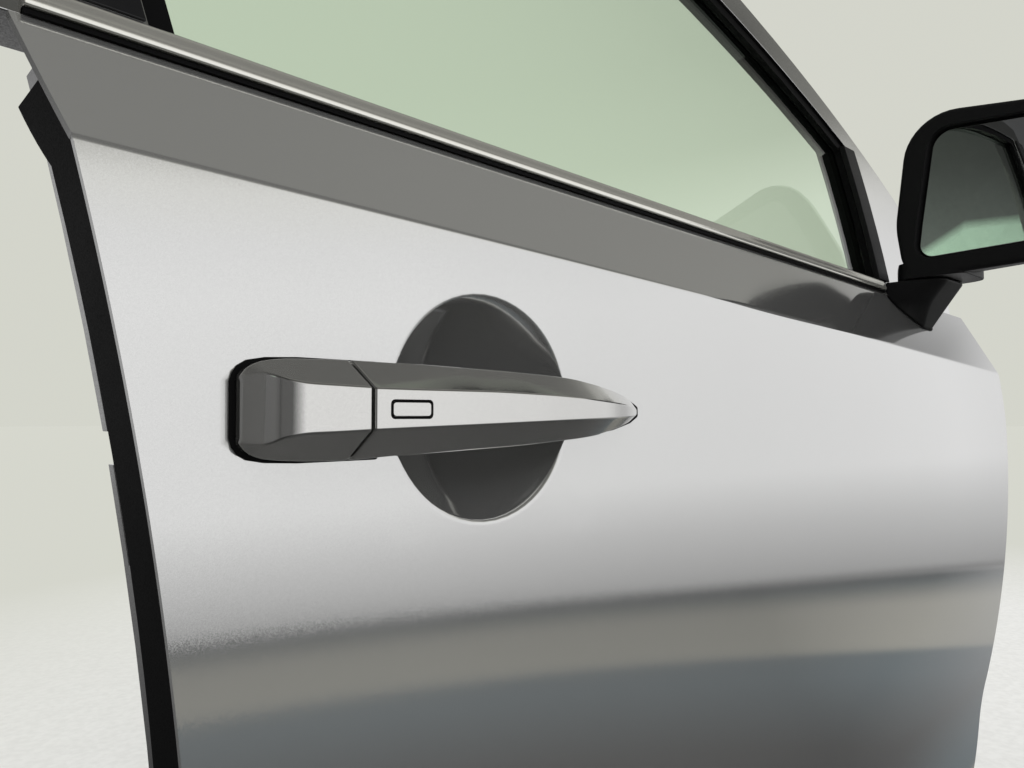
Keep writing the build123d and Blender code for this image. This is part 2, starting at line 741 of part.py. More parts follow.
for place, z in (("upper", UPPER_Z), ("lower", LOWER_Z)):
    with BuildPart() as body_leaf:
        add(block((1064, 1120), (PILLAR_Y - LEAF_T, PILLAR_Y), (z - LEAF_H / 2, z + LEAF_H / 2)))
        fillet(body_leaf.edges().filter_by(Axis.Y).sort_by(Axis.X)[-2:], radius=10)
        with BuildSketch(side(PILLAR_Y)):
            with Locations((PILLAR_BOLT_X, z - BOLT_SPACING / 2), (PILLAR_BOLT_X, z + BOLT_SPACING / 2)):
                Circle(BOLT_HOLE_R)
        extrude(amount=LEAF_T, mode=Mode.SUBTRACT)
        for lug in ((z + LUG_IN, z + LUG_OUT), (z - LUG_OUT, z - LUG_IN)):
            add(knuckle(1074, PILLAR_Y - 2, (20, 4), lug))
        bore = (z - LEAF_H, z + LEAF_H)
        add(drum(AXIS_X, AXIS_Y, bore, PIN_R + RUN_GAP), mode=Mode.SUBTRACT)
    save(body_leaf.part, f"hinge_{place}_body_leaf")

    with BuildPart() as door_leaf:
        plate_x = (FRONT_FACE_X + SEAT, FRONT_FACE_X + SEAT + LEAF_T)
        add(block(plate_x, DOOR_LEAF_Y, (z - LEAF_H / 2, z + LEAF_H / 2)))
        fillet(door_leaf.edges().filter_by(Axis.X), radius=8)
        add(knuckle(plate_x[0] + 2, AXIS_Y, (4, 34), (z - DOOR_LUG, z + DOOR_LUG)))
        add(drum(AXIS_X, AXIS_Y, (z - 33, z + 33), PIN_R))
        for head in ((z + 29.8, z + 33), (z - 33, z - 29.8)):
            add(drum(AXIS_X, AXIS_Y, head, 8))
    save(door_leaf.part, f"hinge_{place}_door_leaf")

# Door mirror

HEAD_FRONT = 885.0
COLLAR_X = 812.0
SPIGOT_R = 12.0
SPIGOT_Z = 170.0
PARTING = 0.6
CAP_FROM_X = 846.0
CAP_FROM_Z = 176.0
CAP_T = 2.2
BUSH_T = 6.0
NECK_R = 46.0
# Columns: y, z
NECK = ((-30, FOLD_Z), (45, FOLD_Z), (45, 158), (33, 176), (-10, 176))

# Columns: x, then (y, z) of the lower inner, upper inner, upper outer and lower outer corners
HEAD_TABLE = (
    (MIRROR_X, (30, 143), (43, 329), (-182, 300), (-178, 153)),
    (842.0, (26, 147), (30, 325), (-174, 297), (-168, 160)),
    (HEAD_FRONT, (-10, 166), (-12, 302), (-138, 284), (-132, 180)),
)
HEAD_CORNERS = ((30, 64, 45, 60), (28, 60, 45, 55), (18, 40, 35, 35))


def rounded_quad(plane, corners, radii, shrink=0.0):
    """Four-cornered face, each corner with its own radius."""
    with BuildSketch(plane) as made:
        with BuildLine():
            Polyline(*corners, close=True)
        make_face()
        for corner, radius in zip(corners, radii):
            spot = Vector(*corner)
            found = sorted(made.vertices(), key=lambda v: (Vector(v) - spot).length)[0]
            fillet(found, radius=radius)
        if shrink:
            offset(amount=-shrink)
    return made.sketch


def head_form(shrink=0.0):
    sections = []
    for (x, *corners), radii in zip(HEAD_TABLE, HEAD_CORNERS):
        station = x - shrink if x == HEAD_FRONT else x
        sections.append(rounded_quad(section(station), corners, radii, shrink))
    return lofted(sections)


GLASS_CORNERS = ((14, 173), (-4, 304), (-168, 292), (-166, 176))
GLASS_RADII = (14, 24, 30, 70)
HOLLOW_CORNERS = ((4, 182), (0, 296), (-136, 280), (-130, 186))
HOLLOW_RADII = (20, 40, 35, 40)
HOLLOW_END = 872.0


def glass_prism(shrink, x0, x1):
    face = rounded_quad(section(x0), GLASS_CORNERS, GLASS_RADII, shrink)
    with BuildPart() as made:
        extrude(face, amount=x1 - x0)
    return made.part


def hollow_prism(x0, x1):
    face = rounded_quad(section(x0), HOLLOW_CORNERS, HOLLOW_RADII)
    with BuildPart() as made:
        extrude(face, amount=x1 - x0)
    return made.part


cap_zone = block((CAP_FROM_X, 1000), (-300, 100), (CAP_FROM_Z, 400))

with BuildPart() as mirror_housing:
    add(head_form())
    add(prism(NECK, MIRROR_X, HEAD_FRONT) & drum(FOLD_X, FOLD_Y, (0, 300), NECK_R))
    add(cap_zone - head_form(CAP_T + SEAT), mode=Mode.SUBTRACT)
    add(glass_prism(0, MIRROR_X, COLLAR_X + 1), mode=Mode.SUBTRACT)
    add(hollow_prism(COLLAR_X, HOLLOW_END), mode=Mode.SUBTRACT)
    add(block((700, 1000), (-300, 100), (100, FOLD_Z + PARTING)), mode=Mode.SUBTRACT)
    add(drum(FOLD_X, FOLD_Y, (100, SPIGOT_Z + BUSH_T + SEAT), SPIGOT_R + BUSH_T + SEAT), mode=Mode.SUBTRACT)
save(mirror_housing.part, "mirror_housing")

with BuildPart() as mirror_pivot_bush:
    add(drum(FOLD_X, FOLD_Y, (FOLD_Z + PARTING, SPIGOT_Z + BUSH_T), SPIGOT_R + BUSH_T))
    add(drum(FOLD_X, FOLD_Y, (100, SPIGOT_Z + 1), SPIGOT_R + RUN_GAP), mode=Mode.SUBTRACT)
save(mirror_pivot_bush.part, "mirror_pivot_bush")

with BuildPart() as mirror_cap:
    add(head_form() - head_form(CAP_T))
    skin_zone = block((CAP_FROM_X + SEAT, 1000), (-300, 100), (CAP_FROM_Z + SEAT, 400))
    add(skin_zone, mode=Mode.INTERSECT)
save(mirror_cap.part, "mirror_cap")

MIRROR_GLASS_X = MIRROR_X + 8.0

with BuildPart() as mirror_glass:
    add(glass_prism(2.0, MIRROR_GLASS_X, MIRROR_GLASS_X + MIRROR_GLASS_T))
save(mirror_glass.part, "mirror_glass")

with BuildPart() as mirror_glass_carrier:
    back = MIRROR_GLASS_X + MIRROR_GLASS_T + SEAT
    add(glass_prism(2.6, back, back + 3))
    with BuildSketch(section(back + 2)):
        with Locations((-78, 232)):
            Circle(24)
    extrude(amount=HOLLOW_END - SEAT - back - 2)
save(mirror_glass_carrier.part, "mirror_glass_carrier")

FOOT_PAD_T = 1.5
FOOT_TOP = FOLD_Z - PARTING
SPUR_TOP = 172.0
# Columns: z, then (x, y) of the rear inner, rear outer, front outer and front inner corners
FOOT_TABLE = (
    (94.0, (852, 49.5), (858, 35), (887, 35), (887, 49.5)),
    (126.0, (799, 49.5), (806, 8), (887, 8), (887, 49.5)),
    (FOOT_TOP, (796, 49.5), (800, -9), (887, -9), (887, 49.5)),
)
FOOT_CORNERS = ((1, 9, 10, 1), (1, 22, 26, 1), (1, 22, 30, 1))


def foot_form(grow=0.0):
    sections = []
    for (z, *corners), radii in zip(FOOT_TABLE, FOOT_CORNERS):
        sections.append(rounded_quad(level(z), corners, radii, -grow))
    with BuildPart() as made:
        loft(sections=sections, ruled=True)
    return made.part


with BuildPart() as mirror_foot:
    add(foot_form())
    add(block((796, 814), (30, 49.5), (FOOT_TOP - 4, SPUR_TOP)) - drum(FOLD_X, FOLD_Y, (0, 300), NECK_R + 2))
    with BuildSketch(section(700)):
        with BuildLine():
            Polyline((50, FOOT_TOP), (50, SPUR_TOP + 1), (36, SPUR_TOP + 1), close=True)
        make_face()
    extrude(amount=200, mode=Mode.SUBTRACT)
    add(inboard_of_skin(-2 * SEAT - FOOT_PAD_T), mode=Mode.SUBTRACT)
    add(drum(FOLD_X, FOLD_Y, (FOOT_TOP - 0.5, SPIGOT_Z), SPIGOT_R))
save(mirror_foot.part, "mirror_foot")

with BuildPart() as mirror_foot_gasket:
    add(inboard_of_skin(-SEAT - FOOT_PAD_T) - inboard_of_skin(-SEAT))
    add(foot_form(1.5) & block((700, 1000), (-100, 49), (60, belt_z(FOLD_X) - 3)), mode=Mode.INTERSECT)
save(mirror_foot_gasket.part, "mirror_foot_gasket")


# Cabin side: trim card, belt roll, armrest, switches, release, grille, pocket and sail cover

CARD_Y = (INNER_Y + SEAT, 127.0)
CARD_INSET = SEAL_INSET[1] + 2.0
CARD_T = 3.0
CARD_TOP = -80.0

with BuildPart() as trim_panel:
    add(depth_prism(shell_outline(CARD_INSET, CARD_TOP), *CARD_Y))
    fillet(trim_panel.faces().sort_by(Axis.Y)[-1].edges(), radius=4)
    hollow = shell_outline(CARD_INSET + CARD_T, CARD_TOP - CARD_T)
    add(depth_prism(hollow, CARD_Y[0] - 1, CARD_Y[1] - CARD_T), mode=Mode.SUBTRACT)
save(trim_panel.part, "trim_panel")

# Columns: y, height above the belt
ROLL = (
    (CARD_Y[0], CARD_TOP + SEAT),
    (126.0, CARD_TOP + SEAT),
    (131.0, -60.0),
    (139.0, -30.0),
    (138.0, -8.0),
    (128.0, 3.0),
    (114.0, 5.5),
    (91.0, 4.5),
    (91.0, 0.0),
    (CARD_Y[0], 0.0),
)
ROLL_HOLLOW = (
    (CARD_Y[0] - 1, CARD_TOP + 4),
    (123.0, CARD_TOP + 4),
    (128.0, -59.0),
    (136.0, -30.0),
    (135.0, -9.0),
    (126.0, -2.0),
    (CARD_Y[0] - 1, -2.0),
)
ROLL_X = (60.0, 984.0)
LEDGE_X = (60.0, 780.0)
LEDGE = ((79.5, 0.0), (92.0, 0.0), (92.0, 4.5), (79.5, 4.5))

with BuildPart() as trim_upper:
    add(belt_strip(ROLL, *ROLL_X) - belt_strip(ROLL_HOLLOW, ROLL_X[0] + 3, ROLL_X[1] - 3))
    add(belt_strip(LEDGE, *LEDGE_X))
save(trim_upper.part, "trim_upper")

ARMREST = ((128, -42), (560, -46), (612, -34), (770, -12), (812, -44), (716, -104), (210, -116), (140, -92))
ARMREST_Y = (CARD_Y[1] + SEAT, 186.0)
CUP = ((452.0, 560.0), (140.0, 174.0), (-92.0, 0.0))
SWITCH_X = (624.0, 752.0)
SWITCH_Y = (138.0, 178.0)
SWITCH_T = 3.0
SWITCH_SLOPE = (ARMREST[3][1] - ARMREST[2][1]) / (ARMREST[3][0] - ARMREST[2][0])

with BuildPart() as armrest:
    add(depth_prism(side_polygon(ARMREST, 16), *ARMREST_Y))
    fillet(armrest.faces().sort_by(Axis.Y)[-1].edges(), radius=9)
    add(block(*CUP), mode=Mode.SUBTRACT)
save(armrest.part, "armrest")


def on_slope(x, lift):
    return ARMREST[2][1] + (x - ARMREST[2][0]) * SWITCH_SLOPE + lift


def sloped_slab(x, y, low, high):
    """Slab lying along the armrest's switch slope, between two lifts above it."""
    corners = ((x[0], on_slope(x[0], low)), (x[1], on_slope(x[1], low)))
    tops = ((x[1], on_slope(x[1], high)), (x[0], on_slope(x[0], high)))
    return depth_prism(side_polygon(corners + tops), *y)


with BuildPart() as switch_panel:
    add(sloped_slab(SWITCH_X, SWITCH_Y, SEAT, SEAT + SWITCH_T))
    fillet(switch_panel.edges().filter_by(Axis.Y).sort_by(Axis.Z)[-2:], radius=1.2)
save(switch_panel.part, "switch_panel")

with BuildPart() as window_switches:
    rail_x = (SWITCH_X[0] + 10, SWITCH_X[1] - 40)
    add(sloped_slab(rail_x, (SWITCH_Y[0] + 5, SWITCH_Y[1] - 5), SWITCH_T + 2 * SEAT, SWITCH_T + 2 * SEAT + 1.6))
    for row_x in (rail_x[0] + 5, rail_x[0] + 43):
        for row_y in (SWITCH_Y[0] + 7, SWITCH_Y[0] + 22):
            add(sloped_slab((row_x, row_x + 26), (row_y, row_y + 11), SWITCH_T + 1, SWITCH_T + 7))
save(window_switches.part, "window_switches")

RELEASE = ((FRONT_FACE_X - 224.0, FRONT_FACE_X - 128.0), (-8.0, 38.0))

with BuildPart() as inner_release_bezel:
    x, z = RELEASE
    middle, height = (x[0] + x[1]) / 2, (z[0] + z[1]) / 2
    with BuildSketch(side(CARD_Y[1] + SEAT + 5)):
        with Locations((middle, height)):
            RectangleRounded(x[1] - x[0], z[1] - z[0], 12)
    extrude(amount=5)
    with BuildSketch(side(CARD_Y[1] + SEAT + 5)):
        with Locations((middle, height)):
            RectangleRounded(x[1] - x[0] - 12, z[1] - z[0] - 12, 8)
    extrude(amount=3, mode=Mode.SUBTRACT)
save(inner_release_bezel.part, "inner_release_bezel")

with BuildPart() as inner_release_lever:
    lever = ((0, 0), (66, 0), (66, 5), (40, 9), (8, 8), (0, 4))
    base_y = CARD_Y[1] + SEAT + 2 + SEAT
    with BuildSketch(level(RELEASE[1][0] + 10)):
        with BuildLine():
            Polyline(*[(RELEASE[0][0] + 14 + x, base_y + y) for x, y in lever], close=True)
        make_face()
    extrude(amount=RELEASE[1][1] - RELEASE[1][0] - 20)
save(inner_release_lever.part, "inner_release_lever")

with BuildPart() as speaker_grille:
    add(plug(SPEAKER_X, SPEAKER_Z, (CARD_Y[1] + SEAT, CARD_Y[1] + SEAT + 5), SPEAKER_R))
    chamfer(speaker_grille.faces().sort_by(Axis.Y)[-1].edges(), length=2)
save(speaker_grille.part, "speaker_grille")

POCKET_X = (150.0, 760.0)
POCKET_BACK = CARD_Y[1] + SEAT
POCKET = ((0, -430), (36, -426), (52, -318), (48, -318), (33, -422), (3, -426), (3, -318), (0, -318))

with BuildPart() as map_pocket:
    walls = [(POCKET_BACK + y, z) for y, z in POCKET]
    add(prism(walls, *POCKET_X))
    ends = [(POCKET_BACK + y, z) for y, z in ((0, -430), (36, -426), (52, -318), (0, -318))]
    add(prism(ends, POCKET_X[0], POCKET_X[0] + 3))
    add(prism(ends, POCKET_X[1] - 3, POCKET_X[1]))
save(map_pocket.part, "map_pocket")

with BuildPart() as sail_trim_inner:
    add(barrel(-(FRAME_DEPTH - FRAME_PROUD) - SEAT, FRAME_DEPTH - FRAME_PROUD + SEAT + 3, 780, 1020, 8))
    add(depth_prism(frame_outline(-8.0), -100, 300), mode=Mode.INTERSECT)
    add(block((816, 1100), (0, 300), (0, 600)), mode=Mode.INTERSECT)
save(sail_trim_inner.part, "sail_trim_inner")
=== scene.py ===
import json
import math

import bmesh
import bpy
from mathutils import Euler, Matrix, Vector


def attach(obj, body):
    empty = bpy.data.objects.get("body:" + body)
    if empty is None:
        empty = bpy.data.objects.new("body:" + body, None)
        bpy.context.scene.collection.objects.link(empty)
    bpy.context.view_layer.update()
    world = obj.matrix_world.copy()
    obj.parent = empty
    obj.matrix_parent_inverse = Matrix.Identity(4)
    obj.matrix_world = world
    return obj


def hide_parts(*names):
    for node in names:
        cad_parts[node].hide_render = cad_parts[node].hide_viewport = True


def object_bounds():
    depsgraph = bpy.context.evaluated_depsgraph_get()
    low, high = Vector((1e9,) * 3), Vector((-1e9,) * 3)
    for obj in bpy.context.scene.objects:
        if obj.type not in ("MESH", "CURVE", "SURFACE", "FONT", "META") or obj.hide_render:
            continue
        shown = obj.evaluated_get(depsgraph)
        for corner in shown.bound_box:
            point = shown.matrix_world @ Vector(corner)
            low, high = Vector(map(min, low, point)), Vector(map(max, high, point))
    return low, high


# Front right-hand car door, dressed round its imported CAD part. Metres, +X forward,
# +Y inboard, +Z up. Sizes taken over from the CAD source are in millimetres of the
# door's datum: x from the skin's rear edge, y inboard from its face, z from the handle.

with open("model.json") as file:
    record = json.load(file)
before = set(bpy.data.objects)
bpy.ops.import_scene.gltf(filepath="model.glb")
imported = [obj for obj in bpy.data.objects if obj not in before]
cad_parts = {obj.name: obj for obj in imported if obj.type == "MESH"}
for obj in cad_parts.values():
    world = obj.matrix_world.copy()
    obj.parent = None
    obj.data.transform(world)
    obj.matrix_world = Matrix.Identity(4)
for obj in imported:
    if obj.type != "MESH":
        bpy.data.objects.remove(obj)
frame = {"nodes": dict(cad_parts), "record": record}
CAD_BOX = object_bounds()
NODES = frame["nodes"]
BODY_OF = {n: b for b, names in frame["record"]["behaviour"]["bodies"].items() for n in names}
SLOT_OF = {p["node"]: p["material_slot"] for p in frame["record"]["subparts"]}
DATUM = Vector((-1.096, -0.078, -0.045))
MM = 0.001


def at(x, y, z):
    """A point of the door's datum, in the row frame."""
    return DATUM + Vector((x, y, z)) * MM


# Camera

camera = bpy.data.objects.new("camera", bpy.data.cameras.new("camera"))
camera.data.sensor_width = 36.0
camera.data.lens = 27.42
camera.data.clip_start = 0.01
camera.location = (-1.1884, -0.3805, -0.0474)
camera.rotation_euler = Euler((math.radians(92.33), 0, math.radians(-42.68)))
bpy.context.scene.collection.objects.link(camera)
bpy.context.scene.camera = camera
bpy.context.scene.view_settings.view_transform = "Standard"


# Node tools


def new_node(tree, kind, values=(), **settings):
    """A node with its settings, and its inputs set by socket name or index."""
    made = tree.nodes.new(kind)
    for key, value in settings.items():
        setattr(made, key, value)
    for key, value in dict(values).items():
        if isinstance(value, bpy.types.NodeSocket):
            tree.links.new(value, made.inputs[key])
        else:
            made.inputs[key].default_value = value
    return made


def math_node(tree, operation, *values, clamp=False):
    """One sum, its inputs given in order."""
    inputs = dict(enumerate(values))
    return new_node(tree, "ShaderNodeMath", inputs, operation=operation, use_clamp=clamp).outputs[0]


def between(tree, value, none, full):
    """0 up to one value, 1 from the other on, even in between; they may lie either way round."""
    gain = 1 / (full - none)
    return math_node(tree, "MULTIPLY_ADD", value, gain, -none * gain, clamp=True)


def swing(tree, noise, gain, level=0.0, clamp=False):
    """A level that a noise moves up and down by half the gain."""
    middle = math_node(tree, "SUBTRACT", noise, 0.5)
    return math_node(tree, "MULTIPLY_ADD", middle, gain, level, clamp=clamp)


def vector_node(tree, operation, first, second=(0, 0, 0), scale=1.0):
    """One sum of vectors; only SCALE reads the scale."""
    inputs = {0: first, "Scale": scale} if operation == "SCALE" else {0: first, 1: second}
    made = new_node(tree, "ShaderNodeVectorMath", inputs, operation=operation)
    return made.outputs["Value" if operation in ("DISTANCE", "LENGTH") else "Vector"]


def mix_node(tree, share, first, second, blend="MIX"):
    """Two colours mixed."""
    inputs = {0: share, 6: first, 7: second}
    return new_node(tree, "ShaderNodeMix", inputs, data_type="RGBA", blend_type=blend).outputs[2]


def noise_node(tree, where, scale, detail, roughness=0.5):
    """Cloudy noise, about one cloud per 1 / scale metres."""
    inputs = {"Vector": where, "Scale": scale, "Detail": detail, "Roughness": roughness}
    return new_node(tree, "ShaderNodeTexNoise", inputs)


def object_coords(tree):
    """The piece's own coordinates, in metres."""
    return new_node(tree, "ShaderNodeTexCoord").outputs["Object"]


def ramp(tree, value, stops):
    """Colour ramp from (position, grey or colour) stops."""
    made = new_node(tree, "ShaderNodeValToRGB", {0: value})
    band = made.color_ramp
    while len(band.elements) < len(stops):
        band.elements.new(0.5)
    for element, (position, colour) in zip(band.elements, stops):
        element.position = position
        element.color = (*colour, 1) if isinstance(colour, tuple) else (colour, colour, colour, 1)
    return made.outputs[0]


# Light

BACKDROP = (0.655, 0.662, 0.597, 1)
MATT_LIGHT = (1.0, 1.0, 0.99, 1)
WARM = (1.0, 0.995, 0.92, 1)
PALE_GREEN = (0.74, 0.92, 0.78, 1)
BLUE_GREY = (0.11, 0.13, 0.14)
BEIGE, DEEP_BEIGE = (0.275, 0.27, 0.24), (0.25, 0.245, 0.22)
SLATE = (0.07, 0.08, 0.085)
# (height of a ray's direction, brightness or colour) of the room that gloss sees, from its
# floor over its wall to its ceiling
ROOM_OUTBOARD = (
    (-0.90, 0.04), (-0.55, 0.04), (-0.42, 0.06), (-0.32, BLUE_GREY), (-0.287, BLUE_GREY),
    (-0.281, BEIGE), (-0.215, DEEP_BEIGE), (-0.185, SLATE), (-0.174, 0.03),
    (-0.170, 0.44), (-0.09, 0.72), (-0.02, 1.04), (0.22, 1.1), (0.38, 0.98),
    (0.48, 0.30), (0.60, 0.12), (0.95, 0.10),
)
ROOM_INBOARD = (
    (-0.5, 0.05), (-0.2, 0.30), (-0.1, 0.6), (0.18, 0.8), (0.27, 0.33), (0.5, 0.28), (0.72, 0.24),
    (0.95, 0.20),
)
# Where the room changes with a ray's direction: the coordinate's values for not at all and fully
ZONE = {
    "low z": (0.25, -0.25),
    "outboard y": (0.0, -1.0),
    "outboard wall y": (0.0, -0.25),
    "inboard wall y": (0.0, 0.25),
    "behind x": (0.025, -0.475),
    "ahead x": (0.5625, 1.1875),
    "lit floor x": (0.85, 0.975),
    "lit floor height": (0.414, 0.4115),
    "overhead z": (0.30, 0.4667),
}
FLOOR_RISE = 0.165
BEHIND_SHADE, BEHIND_INBOARD, AHEAD_SHADE, LIT_FLOOR = -0.9, 0.12, -0.2, 0.9
# The pale patch behind the car: its zones in x, y and z, and its top edge, which falls inboard
PATCH_ZONES = ((-0.8333, -0.8667), (0.18, 0.23), (0.13, 0.15))
PATCH_TOP, PATCH_KINK_Y, PATCH_FALL, PATCH_SOFT = 0.214, 0.285, -0.6, 0.0111


def room_colour(tree, x, y, z):
    """What gloss sees in a direction: a bright wall, a dim ceiling and a floor."""
    # the floor's far edge rises outboard
    lift = math_node(
        tree, "MULTIPLY", between(tree, z, *ZONE["low z"]), between(tree, y, *ZONE["outboard y"])
    )
    height = math_node(tree, "MULTIPLY_ADD", lift, FLOOR_RISE, z)
    height = math_node(tree, "MULTIPLY_ADD", height, 0.5, 0.5)
    inboard, outboard = (
        ramp(tree, height, [(h / 2 + 0.5, level) for h, level in room])
        for room in (ROOM_INBOARD, ROOM_OUTBOARD)
    )
    colour = mix_node(tree, between(tree, y, *ZONE["outboard wall y"]), inboard, outboard)
    # it is dark behind the car, a little less so inboard, and the wall ahead is a little dimmer
    inward = between(tree, y, *ZONE["inboard wall y"])
    behind = math_node(tree, "MULTIPLY_ADD", inward, BEHIND_INBOARD, BEHIND_SHADE)
    shade = math_node(tree, "MULTIPLY_ADD", between(tree, x, *ZONE["behind x"]), behind, 1.0)
    shade = math_node(tree, "MULTIPLY_ADD", between(tree, x, *ZONE["ahead x"]), AHEAD_SHADE, shade)
    # the floor is lit ahead of the car
    lit = math_node(
        tree, "MULTIPLY", between(tree, height, *ZONE["lit floor height"]),
        between(tree, x, *ZONE["lit floor x"]),
    )
    shade = math_node(tree, "MULTIPLY_ADD", lit, LIT_FLOOR, shade)
    colour = mix_node(tree, 1.0, colour, shade, "MULTIPLY")
    colour = mix_node(tree, between(tree, z, *ZONE["overhead z"]), colour, WARM, "MULTIPLY")
    # only the mirror glass sees the pale patch
    past_kink = math_node(tree, "SUBTRACT", y, PATCH_KINK_Y, clamp=True)
    top = math_node(tree, "MULTIPLY_ADD", past_kink, PATCH_FALL, PATCH_TOP)
    patch = between(tree, math_node(tree, "SUBTRACT", top, z), 0.0, PATCH_SOFT)
    for value, zone in zip((x, y, z), PATCH_ZONES):
        patch = math_node(tree, "MULTIPLY", patch, between(tree, value, *zone))
    return mix_node(tree, patch, colour, PALE_GREEN)


def studio_world():
    """Pale to the camera, plain to matt surfaces, and a painted room to gloss."""
    world = bpy.data.worlds.new("studio")
    bpy.context.scene.world = world
    world.use_nodes = True
    tree = world.node_tree
    tree.nodes.clear()
    ray = new_node(tree, "ShaderNodeLightPath").outputs
    direction = new_node(tree, "ShaderNodeTexCoord").outputs["Generated"]
    room = room_colour(tree, *new_node(tree, "ShaderNodeSeparateXYZ", {0: direction}).outputs)
    for_camera, for_matt, for_gloss = (
        new_node(tree, "ShaderNodeBackground", {0: colour, 1: strength}).outputs[0]
        for colour, strength in ((BACKDROP, 1.0), (MATT_LIGHT, 0.8), (room, 1.0))
    )
    mirrored = math_node(tree, "GREATER_THAN", ray["Glossy Depth"], 0.5)
    straight = math_node(tree, "SUBTRACT", 1.0, mirrored)
    passed = ray["Is Transmission Ray"]
    seen = math_node(tree, "MAXIMUM", ray["Is Camera Ray"], math_node(tree, "MULTIPLY", passed, straight))
    in_gloss = math_node(
        tree, "MAXIMUM", ray["Is Glossy Ray"], math_node(tree, "MULTIPLY", passed, mirrored)
    )
    lit = new_node(tree, "ShaderNodeMixShader", {0: in_gloss, 1: for_matt, 2: for_gloss}).outputs[0]
    shown = new_node(tree, "ShaderNodeMixShader", {0: seen, 1: lit, 2: for_camera}).outputs[0]
    new_node(tree, "ShaderNodeOutputWorld", {0: shown})


def lamp(name, place, aim, size, watts):
    """A soft lamp that lights the matt surfaces and stays out of the gloss."""
    light = bpy.data.lights.new(name, "AREA")
    light.shape = "DISK"
    light.size = size
    light.energy = watts
    made = bpy.data.objects.new(name, light)
    made.location = place
    made.rotation_euler = (Vector(aim) - Vector(place)).to_track_quat("-Z", "Y").to_euler()
    made.visible_glossy = False
    made.visible_camera = False
    made.visible_transmission = False
    bpy.context.scene.collection.objects.link(made)


studio_world()
lamp("key_lamp", (-2.6, -3.0, 2.4), (-0.6, 0, 0), 2.2, 60)
lamp("fill_lamp", (1.6, 3.0, 1.8), (-0.6, 0, 0), 2.4, 45)


# Shared surface effects, each a node group that reads the piece's own coordinates


def group(name, inputs):
    """A node group with (name, kind, default) inputs that puts out colour, normal and roughness."""
    made = bpy.data.node_groups.new(name, "ShaderNodeTree")
    kinds = {"value": "NodeSocketFloat", "colour": "NodeSocketColor", "vector": "NodeSocketVector"}
    for label, kind, default in inputs:
        socket = made.interface.new_socket(label, in_out="INPUT", socket_type=kinds[kind])
        socket.default_value = (*default, 1) if kind == "colour" else default
    for label, kind in (("Colour", "colour"), ("Normal", "vector"), ("Roughness", "value")):
        made.interface.new_socket(label, in_out="OUTPUT", socket_type=kinds[kind])
    return made, made.nodes.new("NodeGroupInput").outputs


def make_flake():
    """Metal flake under a lacquer: each grain has its own tilt and a little of its own shade."""
    tree, given = group("metal_flake", (
        ("Colour", "colour", (0.6, 0.6, 0.6)),
        ("Grain size", "value", 0.0007),
        ("Tilt", "value", 0.12),
        ("Shade", "value", 0.08),
    ))
    where = object_coords(tree)
    scale = math_node(tree, "DIVIDE", 1.0, given["Grain size"])
    grains = new_node(tree, "ShaderNodeTexVoronoi", {"Vector": where, "Scale": scale}).outputs["Color"]
    lean = vector_node(tree, "SUBTRACT", grains, (0.5, 0.5, 0.5))
    lean = vector_node(tree, "SCALE", lean, scale=given["Tilt"])
    face = new_node(tree, "ShaderNodeNewGeometry").outputs["Normal"]
    normal = vector_node(tree, "NORMALIZE", vector_node(tree, "ADD", face, lean))
    cloud = noise_node(tree, where, scale=9.0, detail=4.0, roughness=0.6).outputs[0]
    own = new_node(tree, "ShaderNodeSeparateColor", {0: grains}).outputs[0]
    level = swing(tree, cloud, 0.03, swing(tree, own, given["Shade"], 1.0))
    tone = vector_node(tree, "SCALE", given["Colour"], scale=level)
    rough = math_node(tree, "MULTIPLY_ADD", cloud, 0.04, 0.05)
    new_node(tree, "NodeGroupOutput", {"Colour": tone, "Normal": normal, "Roughness": rough})
    return tree


DUST = (0.34, 0.32, 0.29, 1)


def make_grain():
    """Moulded or leathery grain: pebbles, with duller hollows and a little dust on what faces up."""
    tree, given = group("moulded_grain", (
        ("Colour", "colour", (0.03, 0.03, 0.03)),
        ("Pebble size", "value", 0.0012),
        ("Depth", "value", 0.3),
        ("Gloss", "value", 0.45),
        ("Dust", "value", 0.1),
    ))
    where = object_coords(tree)
    wobble = noise_node(tree, where, scale=140.0, detail=2.0).outputs["Color"]
    bent = vector_node(tree, "ADD", where, vector_node(tree, "SCALE", wobble, scale=0.0016))
    scale = math_node(tree, "DIVIDE", 1.0, given["Pebble size"])
    cells = new_node(
        tree, "ShaderNodeTexVoronoi", {"Vector": bent, "Scale": scale}, feature="SMOOTH_F1"
    ).outputs["Distance"]
    fine = noise_node(tree, where, scale=3200.0, detail=2.0).outputs[0]
    height = math_node(tree, "MULTIPLY_ADD", fine, 0.12, math_node(tree, "SUBTRACT", 1.0, cells))
    bump = new_node(
        tree, "ShaderNodeBump", {"Strength": given["Depth"], "Distance": 0.0004, "Height": height}
    ).outputs[0]
    patch = noise_node(tree, where, scale=14.0, detail=5.0, roughness=0.65).outputs[0]
    face = new_node(tree, "ShaderNodeNewGeometry").outputs["Normal"]
    up = new_node(tree, "ShaderNodeSeparateXYZ", {0: face}).outputs[2]
    up = math_node(tree, "MULTIPLY_ADD", up, 0.6, 0.35, clamp=True)
    dust = math_node(tree, "MULTIPLY", math_node(tree, "MULTIPLY", up, patch), given["Dust"], clamp=True)
    tone = mix_node(tree, dust, given["Colour"], DUST)
    dull = math_node(tree, "MULTIPLY_ADD", cells, 0.22, given["Gloss"])
    dull = swing(tree, patch, 0.12, dull, clamp=True)
    new_node(tree, "NodeGroupOutput", {"Colour": tone, "Normal": bump, "Roughness": dull})
    return tree


